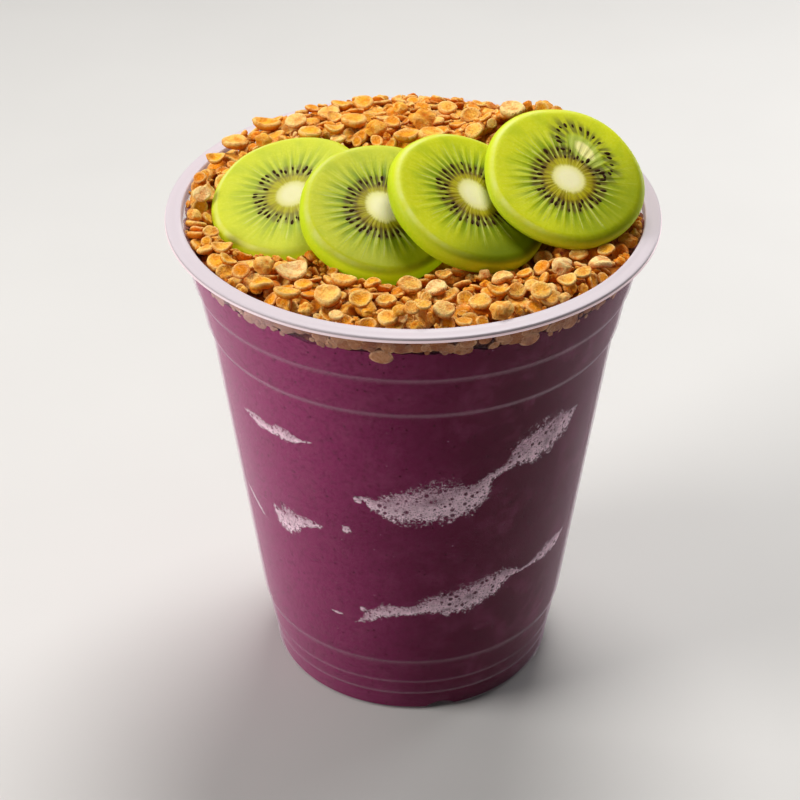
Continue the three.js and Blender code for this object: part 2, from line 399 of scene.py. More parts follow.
def pressNick(thing):
    nick = cup["nick"]
    bearing = math.radians(nick["bearing"])
    places = pointsOf(thing)
    across = places[:, 0] * math.cos(bearing) + places[:, 1] * math.sin(bearing)
    outward = places[:, 0] * math.sin(bearing) - places[:, 1] * math.cos(bearing)
    inside = np.clip(1.35 - np.abs(across) / (0.5 * nick["width"]), 0, 1) ** 0.7
    low = np.clip((nick["fade"] - places[:, 2]) / 1.5, 0, 1)
    places[:, 2] += nick["height"] * inside * low * (outward > cup["footInner"] - 2)
    movePoints(thing, places)


def cupPaint():
    paint = Paint("clear cup plastic", Roughness=0.42, IOR=1.4, Emission_Strength=0.5)
    place = paint.place()
    x, y, z = paint.parts(place)
    out = paint.maths("SQRT", x * x + y * y) / mm
    height = z / mm
    # clear where it is seen straight on; milky at a slant, partly frosting and partly painted sheen along the
    # cup's edges; and painted highlights as milky lines on the ledges
    facing = paint.add("LayerWeight", inputs={"Blend": 0.5}, output="Facing")
    slantHazeAndSheen = paint.maths("MAXIMUM", facing - 0.26, 0.0)
    haze = paint.noise(place, 9, 3)
    rim = paint.span(height, 103.7, 105.0)
    # painted highlights: the plastic turns milky in a narrow line along each ledge
    ledges = 0
    for ledge in cup["ledges"]:
        above = height - ledge
        ledges = ledges + paint.span(above, 0.75, 0.1) * paint.span(above, -0.4, -0.05)
    alpha = 0.004 + 0.16 * slantHazeAndSheen + 0.85 * slantHazeAndSheen**3 + 0.008 * haze + 0.11 * ledges
    paint.set("Alpha", alpha + rim * (0.93 - alpha))
    white = paint.blend(haze, colour(236, 208, 226), colour(226, 196, 214))
    # painted shade: the groove between the top band and the lip is darker
    grooveShade = paint.span(height, 105.7, 105.78) * paint.span(height, 106.04, 105.94)
    lipWhite = paint.blend(0.3 * grooveShade, colour(207, 196, 202), colour(160, 138, 142))
    paint.set("Base Color", paint.blend(rim, white, lipWhite))
    # light that comes through the lip
    lip = paint.span(out, 48.3, 48.75) * paint.span(height, 105.8, 105.7)
    paint.set("Emission Color", paint.blend(lip, colour(0, 0, 0), colour(214, 182, 182)))
    paint.bump(paint.noise(place, 5, 2), 0.05)
    return paint.material


def makeCup():
    outer = rounded(cupSkin(0) + cup["rim"], cup["corner"])
    inner = rounded(cupSkin(cup["wall"]), cup["corner"])[::-1]
    thing = spun("cup_shell", outer + inner, cup["sides"])
    pressNick(thing)
    smoothShade(thing)
    settle(thing, cupPaint(), "cup_plastic", "cup")
    print("cup made")


acai = {
    "sides": 300,
    "reach": 0.14,  # how far the fill presses into the wall
    "rows": range(18, 79, 12),  # heights of the points between the wall's ledges
    "wallTop": 100.5,
    "top": [(36, 99.4), (22, 98.5), (0, 98.5)],  # radius and height, from the wall to the middle
    "waveFrom": 100,  # above this height the edge of the top is wavy
    "topWave": 1.1,
}


def fillProfile(inset, top):
    # the cup's skin moved in, and cut off level at a height within the collar
    skin = cupSkin(inset)
    low, high = skin[-2], skin[-1]
    share = (top - low[1]) / (high[1] - low[1])
    return rounded(skin[:-1] + [(low[0] + share * (high[0] - low[0]), top)], cup["corner"])


def acaiPaint():
    paint = Paint("acai", Roughness=0.5, IOR=1.1)
    place = paint.place()
    across = paint.parts(place)[0] / mm
    height = paint.parts(place)[2] / mm
    cloud = paint.noise(place, 26, 4, 0.6)
    veil = paint.noise(place, 7, 4, 0.65)
    grain = paint.noise(place, 0.9, 4, 0.7)
    # painted light: the acai is paler towards the left, where the key light falls, and darker to the right
    paintedLeftLight = paint.span(across + 22 * (cloud - 0.5), 26, -37)
    base = paint.blend(paintedLeftLight, colour(84, 18, 42), colour(150, 48, 102))
    # painted light: paler again near the right edge, standing in for the light from the right rear
    base = paint.blend(0.34 * paint.span(across, 20, 42), base, colour(132, 60, 92))
    base = paint.blend(0.4 * paint.span(veil, 0.46, 0.72), base, colour(142, 62, 98))
    base = paint.blend(0.4 * paint.span(grain, 0.45, 0.7), base, colour(66, 12, 32))
    dots = paint.cells(place, 1.3)
    which = paint.parts(paint.cells(place, 1.3, output="Color"))[0]
    low = paint.span(height, 94, 99.5)
    dark = (which > 0.78 - 0.4 * low) * paint.span(dots, 0.24, 0.1)
    pale = (which < 0.06) * paint.span(dots, 0.17, 0.07)
    base = paint.blend(0.75 * dark, base, colour(34, 6, 16))
    base = paint.blend(0.5 * pale, base, colour(190, 132, 160))
    paint.set("Base Color", base)
    paint.bump(veil - 0.3 * dark, 0.08)
    return paint.material


def makeAcai():
    inset = cup["wall"] - acai["reach"]
    profile = fillProfile(inset, acai["wallTop"])
    rows = [(wallRadius(height) - inset, height) for height in acai["rows"]]
    above = next(number for number, (_, height) in enumerate(profile) if height > acai["rows"][0])
    profile[above:above] = rows
    thing = spun("acai_fill", profile + acai["top"], acai["sides"])
    pressNick(thing)
    places = pointsOf(thing)
    angle = np.arctan2(places[:, 1], places[:, 0])
    around = np.stack([np.cos(angle) * 40, np.sin(angle) * 40, 0 * angle], 1)
    wave = softNoise(around, 7, 1) + 0.7 * softNoise(around, 2.2, 2)
    places[:, 2] += np.where(places[:, 2] > acai["waveFrom"], acai["topWave"] * wave, 0)
    movePoints(thing, places)
    smoothShade(thing)
    settle(thing, acaiPaint(), "acai", "acai")
    print("acai made")


# the slices from left to right: the middle of the upper face, the radius and thickness, how far the face
# leans to the right and to the front, how much longer it is towards which bearing, and where the core
# lies on it in shares of the radius; then how pale the flesh is, how dark its wedges are, how much light
# its side lets through, how milky the flesh and how bright the core is, and towards which side painted
# shade darkens the flesh and how much; the paleness and the core's brightness are partly painted light,
# setting how lit each slice looks
slices = [
    {
        "at": (-24.0, -0.8, 109.7), "radius": 16.3, "thickness": 3.2, "lean": (-7.8, 17.4),
        "long": 0.006, "bearing": 45,
        "core": {"at": (0.014, -0.023), "turn": 60, "long": 1.12},
        "pale": 0.92, "wedges": 0.75, "glow": 0.36, "milk": 0.2, "cream": 0.86, "shade": (-75, 0.18),
    },
    {
        "at": (-5.9, -11.6, 112.7), "radius": 16.1, "thickness": 4.8, "lean": (10.2, 21.4),
        "long": 0.028, "bearing": 63,
        "core": {"at": (-0.007, -0.016), "turn": -58, "long": 1.25},
        "pale": 0.87, "wedges": 0.9, "glow": 0.38, "milk": 0, "cream": 1.06, "shade": (-62, 0.45),
    },
    {
        "at": (11.2, -11.2, 114.7), "radius": 16.2, "thickness": 4.6, "lean": (21.5, 18.5),
        "long": 0.009, "bearing": -3,
        "core": {"at": (0.026, 0.03), "turn": -52, "long": 1.22},
        "pale": 1.0, "wedges": 0.9, "glow": 0.05, "milk": 0, "cream": 0.95, "shade": (-40, 1.0),
    },
    {
        "at": (29.5, -6.4, 117.1), "radius": 15.9, "thickness": 3.9, "lean": (11.5, 27.3),
        "long": 0.009, "bearing": -6,
        "core": {"at": (0.025, -0.084), "turn": -30, "long": 1.1},
        "twin": {"at": (0.22, 0.367), "turn": -44, "long": 1.9, "seeds": 22, "ring": (0.42, 0.23)},
        "pale": 1.03, "wedges": 0.8, "glow": 0.02, "milk": 0, "cream": 1, "shade": (-30, 0.62),
    },
]

kiwi = {
    "sides": 144,
    "faceRings": 26,
    "heel": [(1.4, 0), (0.5, 0.5)],  # in from the radius and up from the underside
    "shoulder": [(0.16, 1.2), (0.62, 0.5), (1.5, 0.06)],  # in from the radius and down from the face
    "edgeRound": 1.0,
    "coreRise": 0.1,  # the cut face rises at the core and dips outside it
    "riseReach": 0.62,  # of that rise, as a share of the radius
    "dip": 0.06,
    "pocketDip": 0.035,  # it also dips over each seed pocket and in a ring round the core
    "ringDip": 0.1,
    "dents": 0.16,  # unevenness of the side
    "wave": 0.006,  # unevenness of the outline, in shares of the radius
    "lobes": 5,
    "pockets": 36,  # seed pockets round the core, with a pale ray between each two
    "seedRing": 0.37,  # in shares of the radius, as are the next two
    "secondRing": 0.44,
    "seedSpread": 0.03,
    "seedSize": (1.36, 0.7, 0.44),  # length, width and height
    "seedSizes": (0.66, 1.12),  # the smallest and the largest, as shares of that
    "seedDepth": 0.06,  # of a seed's middle below the face
}


def sliceUp(piece):
    right, front = (math.radians(angle) for angle in piece["lean"])
    up = Vector((math.sin(right), -math.sin(front), 0))
    up.z = math.sqrt(1 - up.x**2 - up.y**2)
    return up


def sliceUnder(piece):
    # the middle of the underside
    return Vector(piece["at"]) - sliceUp(piece) * piece["thickness"]


def slicePlace(piece):
    turn = Vector((0, 0, 1)).rotation_difference(sliceUp(piece)).to_matrix().to_4x4()
    return Matrix.Translation(Vector(piece["at"])) @ turn


def crown(reach, radius):
    # how far the cut face stands above its rim
    rise = kiwi["coreRise"] * np.maximum(0, 1 - reach / (kiwi["riseReach"] * radius))
    return rise - kiwi["dip"] * np.sin(np.pi * reach / radius)


def sliceProfile(radius, thickness):
    outline = [(0, -thickness)]
    outline += [(radius - inward, up - thickness) for inward, up in kiwi["heel"]]
    outline.append((radius, -0.5 * thickness))
    outline += [(radius - inward, -down) for inward, down in kiwi["shoulder"]]
    flat = radius - kiwi["shoulder"][-1][0]
    rings = kiwi["faceRings"]
    face = [flat * (1 - ring / rings) for ring in range(1, rings + 1)]
    return rounded(outline, kiwi["edgeRound"]) + [(reach, float(crown(reach, radius))) for reach in face]


def faceLift(across, angle):
    # the pockets dip a little between the rays, and the face dips in a ring round the core
    waves = np.cos(kiwi["pockets"] * angle)
    flesh = np.clip((across - 0.26) / 0.12, 0, 1) * np.clip((0.85 - across) / 0.3, 0, 1)
    ring = np.exp(-(((across - 0.36) / 0.09) ** 2))
    return -kiwi["pocketDip"] * waves * flesh - kiwi["ringDip"] * ring


def faceHeight(piece, x, y):
    # height of the upper face at a place in the slice's own frame, in mm
    radius = piece["radius"]
    cx, cy = piece["core"]["at"]
    across = math.hypot(x / radius - cx, y / radius - cy)
    angle = math.atan2(y / radius - cy, x / radius - cx)
    return float(crown(math.hypot(x, y), radius) + faceLift(across, angle))


def makeSlice(number, piece):
    radius, thickness = piece["radius"], piece["thickness"]
    thing = spun(f"kiwi_{number}", sliceProfile(radius, thickness), kiwi["sides"])
    places = pointsOf(thing)
    angle = np.arctan2(places[:, 1], places[:, 0])
    stretch = 1 + piece["long"] * np.cos(2 * (angle - math.radians(piece["bearing"])))
    stretch += kiwi["wave"] * np.cos(kiwi["lobes"] * angle + piece["bearing"])
    plan = places / radius
    cx, cy = piece["core"]["at"]
    across = np.hypot(plan[:, 0] - cx, plan[:, 1] - cy)
    around = np.arctan2(plan[:, 1] - cy, plan[:, 0] - cx)
    reach = np.hypot(plan[:, 0], plan[:, 1])
    onFace = np.clip((places[:, 2] + 0.3) / 0.2, 0, 1) * (reach < 0.93)
    places[:, 2] += onFace * faceLift(across, around)
    ring = np.stack([radius * np.cos(angle), radius * np.sin(angle), places[:, 2]], 1)
    dents = kiwi["dents"] * (reach > 0.9) * softNoise(ring, 6, number)
    places[:, 0] += dents * np.cos(angle)
    places[:, 1] += dents * np.sin(angle)
    places[:, :2] *= stretch[:, None]
    movePoints(thing, places)
    addLayer(thing, "plan", plan, "FLOAT_VECTOR")
    thing.data.transform(inMetres(slicePlace(piece)))
    smoothShade(thing)
    settle(thing, kiwiPaint(number, piece), "kiwi", f"kiwi_slice_{number}")


def ovalShare(paint, x, y, core):
    # how far out a place lies from an oval core, where the core's edge is a fixed share
    cx, cy = core["at"]
    turn = math.radians(core["turn"])
    along = (x - cx) * math.cos(turn) + (y - cy) * math.sin(turn)
    side = (y - cy) * math.cos(turn) - (x - cx) * math.sin(turn)
    return paint.maths("SQRT", along * along * core["long"] ** -2 + side * side)


def rayWaves(paint, x, y, count, number):
    # 1 in the middle of each seed pocket and 0 on the ray between two, and the two noises that warp them
    across = paint.maths("SQRT", x * x + y * y)
    safe = across + 0.001
    coarse = paint.grain(paint.join(7 * x / safe, 7 * y / safe, 1.4 * across + number), 1.0, 2.0, 0.55)
    fine = paint.grain(paint.join(19 * x / safe, 19 * y / safe, 2.5 * across + number), 1.0, 2.0, 0.55)
    angle = paint.maths("ARCTAN2", y, x)
    wave = 0.5 + 0.5 * paint.maths("COSINE", count * angle + 6.5 * (coarse - 0.5))
    return wave, coarse, fine


def kiwiPaint(number, piece):
    settings = {"Roughness": 0.42, "IOR": 1.18, "Subsurface_Weight": 0.15, "Subsurface_Scale": 0.003}
    paint = Paint(f"kiwi flesh {number}", Emission_Strength=piece["glow"], **settings)
    paint.shader.inputs["Subsurface Radius"].default_value = (0.8, 1.0, 0.25)
    plan = paint.layer("plan", "Vector")
    x, y, depth = paint.parts(plan)
    cx, cy = piece["core"]["at"]
    dx, dy = x - cx, y - cy
    across = paint.maths("SQRT", dx * dx + dy * dy)
    rim = paint.maths("SQRT", x * x + y * y)
    wave, coarse, fine = rayWaves(paint, dx, dy, kiwi["pockets"], number)
    speck = paint.grain(plan, 26.0, 3.0, 0.6)
    cloud = paint.grain(plan, 3.5, 2.0, 0.5)

    # every flesh colour is scaled by the slice's paleness, which partly paints how much light the slice gets
    def tone(red, green, blue):
        return colour(red, green, blue, piece["pale"])

    # the flesh with its clouds and fine streaks
    flesh = paint.blend(paint.span(across, 0.4, 0.9), tone(186, 196, 4), tone(203, 208, 18))
    flesh = paint.blend(0.45 * paint.span(speck, 0.45, 0.7), flesh, tone(214, 218, 60))
    flesh = paint.blend(0.55 * paint.span(cloud, 0.45, 0.7), flesh, tone(172, 188, 14))
    streaks = paint.span(across, 0.36, 0.5) * paint.span(across + 0.5 * (coarse - 0.5), 0.92, 0.55)
    flesh = paint.blend(0.5 * streaks * paint.span(fine, 0.5, 0.68), flesh, tone(216, 220, 84))
    flesh = paint.blend(0.45 * streaks * paint.span(fine, 0.5, 0.34), flesh, tone(142, 168, 8))

    # darker wedges that run out from the seed pockets
    pocket = paint.span(wave + 0.5 * (fine - 0.5), 0.2, 0.7)
    length = paint.maths("MINIMUM", 0.5 + 0.9 * (coarse - 0.42) + 0.4 * (fine - 0.5), 0.6)
    wedge = pocket * paint.span(across - length, 0.24, -0.14) * paint.span(across, 0.3, 0.4)
    inward = paint.span(across, 0.72, 0.45)
    flesh = paint.blend(piece["wedges"] * 0.45 * inward, flesh, tone(146, 170, 8))
    flesh = paint.blend(piece["wedges"] * 0.85 * wedge, flesh, tone(98, 128, 4))
    # painted shade: the flesh darkens towards the slice's given side, by the given amount
    bearing, shade = piece["shade"]
    towards = x * math.cos(math.radians(bearing)) + y * math.sin(math.radians(bearing))
    flesh = paint.blend(shade * paint.span(towards, 0.1, 0.85), flesh, tone(104, 118, 2))

    # olive round the core, brown between the seeds and pale rays between the pockets
    inner = paint.span(across + 0.05 * (fine - 0.5), 0.38, 0.32)
    olive = paint.blend(paint.span(coarse, 0.36, 0.62), tone(126, 104, 4), tone(172, 160, 10))
    flesh = paint.blend(0.95 * inner, flesh, olive)
    seedZone = paint.span(across, 0.28, 0.33) * paint.span(across + 0.1 * (fine - 0.5), 0.52, 0.44)
    flesh = paint.blend(0.85 * seedZone * (0.35 + 0.65 * pocket), flesh, tone(86, 66, 22))
    ray = paint.span(wave + 0.35 * (fine - 0.5), 0.14, 0.0)
    rayReach = paint.span(across, 0.3, 0.38) * paint.span(across + 0.9 * (fine - 0.5), 0.72, 0.4)
    rayShare = paint.span(coarse + 0.5 * (speck - 0.5), 0.3, 0.55)
    flesh = paint.blend(0.7 * ray * rayReach * rayShare, flesh, tone(206, 208, 116))
    flesh = paint.blend(piece["milk"], flesh, tone(206, 212, 120))

    core = ovalShare(paint, x, y, piece["core"])
    coreMask = paint.span(core + 0.05 * (fine - 0.5) + 0.03 * (speck - 0.5), 0.215, 0.165)
    if "twin" in piece:
        away = paint.span(across, 0.26, 0.38)
        flesh, twinMask = twinMarks(paint, number, piece["twin"], (x, y), flesh, away, tone)
        coreMask = paint.maths("MAXIMUM", coreMask, twinMask)
    flesh = paint.blend(0.45 * paint.span(core, 0.3, 0.19), flesh, tone(188, 182, 40))
    # the core's brightness, which partly paints how much light the slice gets
    milk = piece["pale"] * piece["cream"]
    cream = paint.blend(paint.span(core, 0.2, 0.08), colour(228, 222, 140, milk), colour(242, 236, 184, milk))
    flesh = paint.blend(coreMask, flesh, cream)

    # a painted highlight along the left part of the shoulder, and the side below it
    shoulder = paint.span(rim, 0.89, 0.925) * paint.span(rim, 0.985, 0.94)
    shoulder = shoulder * paint.span(x - 0.3 * y, 0.5, -0.6)
    flesh = paint.blend(shoulder * (0.25 + 0.45 * paint.span(cloud, 0.35, 0.7)), flesh, tone(226, 230, 136))
    lowness = depth * piece["radius"]
    side = paint.span(lowness, -0.1, -1.2)
    deepest = -0.9 * piece["thickness"]
    skin = paint.blend(paint.span(lowness, -0.8, deepest), tone(192, 208, 36), tone(176, 204, 8))
    skin = paint.blend(0.35 * paint.span(speck, 0.4, 0.7), skin, tone(204, 212, 66))
    paint.set("Base Color", paint.blend(side, flesh, skin))
    # daylight coming through the flesh of the side
    paint.set("Emission Color", paint.blend(side, colour(0, 0, 0), colour(144, 178, 4)))
    ridged = paint.span(across, 0.16, 0.3) * paint.span(across, 0.75, 0.45)
    paint.bump(ridged * (fine - 0.5 * pocket) + 0.4 * speck, 0.1)
    return paint.material


def twinMarks(paint, number, twin, plan, flesh, away, tone):
    # a second, smaller core with seed pockets of its own, where that lies away from the first one
    x, y = plan
    tx, ty = twin["at"]
    share = ovalShare(paint, x, y, twin)
    wave, _, fine = rayWaves(paint, x - tx, y - ty, twin["seeds"], number + 5)
    pocket = paint.span(wave + 0.4 * (fine - 0.5), 0.2, 0.7)
    zone = paint.span(share, 0.13, 0.18) * paint.span(share, 0.34, 0.24) * away
    flesh = paint.blend(0.75 * zone * (0.3 + 0.7 * pocket), flesh, tone(88, 84, 30))
    flesh = paint.blend(0.85 * paint.span(share, 0.17, 0.11) * away, flesh, tone(170, 184, 74))
    return flesh, paint.span(share + 0.04 * (fine - 0.5), 0.1, 0.06)


def seedMaster():
    # a drop of length 1, laid on its side
    profile = [(0, -0.5), (0.2, -0.4), (0.42, -0.12), (0.5, 0.1), (0.44, 0.3), (0.24, 0.45), (0, 0.5)]
    seed = spun("seed", profile, 8)
    editAll(seed)
    bpy.ops.transform.rotate(value=math.radians(-90), orient_axis="Y", center_override=(0, 0, 0))
    leaveEdit()
    return seed


def seedPaint():
    paint = Paint("kiwi seeds", Roughness=0.55, IOR=1.1)
    grain = paint.noise(paint.place(), 0.6, 2)
    paint.set("Base Color", paint.blend(grain, colour(34, 17, 7), colour(66, 40, 22)))
    return paint.material


def seedSpots(piece, dice):
    # where the seeds lie on one slice: place from the middle, in shares of its radius, and their turn
    spots = []
    cx, cy = piece["core"]["at"]
    twin = piece.get("twin")
    for pocket in range(kiwi["pockets"]):
        rings = [kiwi["secondRing"] if pocket % 2 else kiwi["seedRing"]]
        if dice.random() < 0.3:
            rings.append(kiwi["seedRing"] if pocket % 2 else kiwi["secondRing"])
        for ring in rings:
            angle = 2 * math.pi * (pocket + 0.3 * dice.uniform(-1, 1)) / kiwi["pockets"]
            ring += dice.uniform(-1, 1) * kiwi["seedSpread"]
            if twin:
                towards = math.atan2(twin["at"][1] - cy, twin["at"][0] - cx)
                ring -= 0.01 + 0.06 * max(0, math.cos(angle - towards)) ** 6
            spots.append((cx + ring * math.cos(angle), cy + ring * math.sin(angle), angle))
    if twin:
        tx, ty = twin["at"]
        turn = math.radians(twin["turn"])
        for step in range(twin["seeds"]):
            angle = 2 * math.pi * (step + 0.3 * dice.uniform(-1, 1)) / twin["seeds"]
            along, side = twin["ring"][0] * math.cos(angle), twin["ring"][1] * math.sin(angle)
            x = tx + along * math.cos(turn) - side * math.sin(turn)
            y = ty + along * math.sin(turn) + side * math.cos(turn)
            if math.hypot(x - cx, y - cy) > 0.4:
                spots.append((x, y, math.atan2(y - ty, x - tx)))
    return spots


def makeSeeds():
    dice = random.Random(11)
    master = seedMaster()
    copies = []
    for piece in slices:
        place = slicePlace(piece)
        radius = piece["radius"]
        for x, y, angle in seedSpots(piece, dice):
            size = dice.uniform(*kiwi["seedSizes"])
            height = faceHeight(piece, x * radius, y * radius) - kiwi["seedDepth"]
            shape = Matrix.Diagonal([side * size for side in kiwi["seedSize"]] + [1])
            turn = Matrix.Rotation(angle + dice.uniform(-0.2, 0.2), 4, "Z")
            spot = Matrix.Translation((x * radius, y * radius, height))
            copies.append(copyOf(master, place @ spot @ turn @ shape, dice.random()))
    seeds = joined("kiwi_seeds", copies)
    bpy.data.objects.remove(master)
    smoothShade(seeds)
    settle(seeds, seedPaint(), "kiwi")
    print("kiwi seeds:", len(copies))


heap = {
    "edgeFront": 105.25,  # height of the heap at the wall
    "edgeRear": 106.15,
    "swellFront": -1.2,  # how much higher its middle stands
    "swellRear": 8.2,
    "swellPower": 0.74,
    "radius": 45.0,
    "blendRadius": 12,  # inside it the front and the rear blend into each other
    "blend": (0.25, 0.9),  # where that change starts and ends, as shares of the way to the rear
    "slope": 0.7,  # how steeply it falls away from under the slices
    "wallSlope": 1.05,  # and the steepest that it climbs from the wall
    "beside": 0.8,  # how far it may stand above a slice's underside just outside the slice
    "besideSlope": 0.9,
}


def smooth(value, low, high):
    share = np.clip((value - low) / (high - low), 0, 1)
    return share * share * (3 - 2 * share)


def heapHeight(x, y):
    # the heap's even surface: an edge height at the wall, a swell behind, and a bed under each slice
    radius = np.minimum(np.hypot(x, y), heap["radius"])
    blend = smooth(0.5 + 0.5 * y / np.maximum(radius, heap["blendRadius"]), *heap["blend"])
    edge = heap["edgeFront"] + blend * (heap["edgeRear"] - heap["edgeFront"])
    swell = heap["swellFront"] + blend * (heap["swellRear"] - heap["swellFront"])
    bare = edge + swell * (1 - (radius / heap["radius"]) ** 2) ** heap["swellPower"]
    held = np.full(np.shape(x), -1e9)
    ceiling = np.full(np.shape(x), 1e9)
    for piece in slices:
        up = sliceUp(piece)
        under = sliceUnder(piece)
        distance = np.hypot(x - under.x, y - under.y)
        share = np.minimum(1, piece["radius"] / np.maximum(distance, 1e-6))
        height = under.z - ((x - under.x) * share * up.x + (y - under.y) * share * up.y) / up.z
        past = np.maximum(0, distance - piece["radius"])
        held = np.maximum(held, height - heap["slope"] * past)
        lift = np.where(past > 0, heap["beside"] + heap["besideSlope"] * past, 0)
        ceiling = np.minimum(ceiling, height + lift)
    climb = edge + heap["wallSlope"] * (heap["radius"] - radius)
    return np.minimum(ceiling, np.maximum(bare, np.minimum(held, climb)))


def besideSlices(x, y):
    # how far a place lies outside the nearest slice's underside
    outside = np.full(np.shape(x), 99.0)
    for piece in slices:
        under = sliceUnder(piece)
        outside = np.minimum(outside, np.hypot(x - under.x, y - under.y) - piece["radius"])
    return outside


def innerRadius(height):
    # the cup's inner wall at a height within the collar
    (lowRadius, low), (highRadius, high) = cup["bands"][-2:]
    return lowRadius + (height - low) / (high - low) * (highRadius - lowRadius) - cup["wall"]


# the bed of the heap, which carries the slices and shows in the gaps between the flakes
core = {
    "sides": 200,
    "sink": 2.0,  # how far it lies below the heap's surface, except under the slices
    "underside": 98.9,
    "lowest": 99.3,  # of its upper face
    "reach": -0.7,  # from the wall
    "levels": (100.2, 101, 102, 103, 104),
    "edge": (43.9, 104.2),
    "topRadius": 44.5,  # what lies inside it is lifted to the bed's height
    "lumps": 0.5,
}


def bedHeight(x, y):
    return heapHeight(x, y) - core["sink"] * smooth(besideSlices(x, y), -4.5, -2.2)


def makeCore():
    start = 99.6  # height of the upper face before it is lifted
    wall = [(innerRadius(level) + core["reach"], level) for level in core["levels"]]
    upper = [(radius, start) for radius in range(44, -1, -1)]
    profile = [(0, core["underside"]), (44, core["underside"])] + wall + [core["edge"]] + upper
    thing = spun("granola_core", profile, core["sides"])
    places = pointsOf(thing)
    x, y, z = places.T
    onTop = (z > start - 0.1) & (np.hypot(x, y) < core["topRadius"])
    flat = places * [1, 1, 0]
    lumps = softNoise(flat, 2.6, 4) + 0.6 * softNoise(flat, 1.3, 5)
    surface = bedHeight(x, y) + core["lumps"] * lumps * (besideSlices(x, y) > -2)
    places[:, 2] = np.where(onTop, np.maximum(surface, core["lowest"]), z)
    movePoints(thing, places)
    smoothShade(thing)
    settle(thing, corePaint(), "granola", "granola")


def corePaint():
    # dark between the flakes on the heap, and pale where it lies against the wall
    paint = Paint("granola bed", Roughness=0.7, IOR=1.25)
    place = paint.place()
    x, y, _ = paint.parts(place)
    out = paint.maths("SQRT", x * x + y * y) / mm
    atWall = paint.span(out, 43.4, 43.8)
    warp = paint.noise(place, 2.5, 3)
    shade = paint.noise(place, 1.8, 5, 0.65)
    deep = paint.ramp(shade, [
        (0.34, colour(120, 36, 0)),
        (0.5, colour(196, 106, 18)),
        (0.66, colour(236, 160, 62)),
    ])
    pale = paint.ramp(shade + 0.5 * (warp - 0.5), [
        (0.3, colour(84, 36, 44)),
        (0.42, colour(118, 62, 58)),
        (0.55, colour(160, 100, 82)),
        (0.72, colour(196, 142, 116)),
    ])
    paint.set("Base Color", paint.blend(atWall, deep, pale))
    paint.bump(shade, 0.5)
    return paint.material


def flakePaint(name, wet=False):
    settings = {"Roughness": 0.55, "IOR": 1.16, "Subsurface_Weight": 0.12, "Subsurface_Scale": 0.0015}
    paint = Paint(name, **settings)
    paint.shader.inputs["Subsurface Radius"].default_value = (1.0, 0.45, 0.12)
    place = paint.place()
    tint = paint.layer("tint")
    rim = paint.layer("rim")
    under = paint.layer("under")
    mottle = paint.noise(place, 1.7, 4, 0.6)
    fine = paint.noise(place, 0.4, 3, 0.65)
    base = paint.ramp(tint, [
        (0.0, colour(198, 98, 2)),
        (0.25, colour(244, 148, 16)),
        (0.6, colour(251, 178, 46)),
        (0.85, colour(253, 198, 96)),
        (1.0, colour(255, 220, 150)),
    ])
    base = paint.blend(0.6 * paint.span(mottle, 0.58, 0.38), base, colour(218, 116, 8))
    # partly toasted colour and partly painted highlight: paler on the rims and knobs that the rim layer marks
    base = paint.blend(0.5 * rim * paint.span(mottle, 0.28, 0.55), base, colour(255, 220, 150))
    base = paint.blend(0.3 * paint.span(fine, 0.5, 0.72), base, colour(254, 226, 160))
    base = paint.blend(0.38 * paint.span(fine, 0.47, 0.3), base, colour(184, 80, 2))
    # painted shade: darker on the lower part and in the hollows that the under layer marks
    base = paint.blend(0.72 * under, base, colour(200, 94, 4))
    if wet:
        base = paint.blend(0.92, base, soakedTones(paint, place, tint, rim, mottle + 0.5 * (fine - 0.5)))
    paint.set("Base Color", base)
    paint.bump(mottle + 0.8 * fine, 0.5)
    return paint.material


def soakedTones(paint, place, tint, rim, mottle):
    # flakes behind the wall: a painted shadow as a dark outline round each, purple where the acai covers
    # them, and painted light that makes them paler to the left
    soaked = paint.blend(paint.span(mottle, 0.3, 0.6), colour(196, 134, 96), colour(232, 182, 144))
    soaked = paint.blend(0.75 * paint.span(tint, 0.75, 0.1), soaked, colour(158, 98, 70))
    soaked = paint.blend(0.45 * paint.span(rim, 0.5, 0.1), soaked, colour(178, 108, 62))
    # painted shadow: a dark outline along each flake's edge
    soaked = paint.blend(0.85 * paint.span(rim, 0.62, 0.95), soaked, colour(92, 42, 36))
    cloud = paint.noise(place, 4, 3)
    soaked = paint.blend(0.55 * paint.span(cloud, 0.46, 0.62), soaked, colour(140, 84, 82))
    # painted light: paler to the left, where the key light falls
    left = paint.span(paint.parts(place)[0], -8 * mm, -30 * mm)
    return paint.blend(0.6 * left, soaked, colour(206, 172, 172))


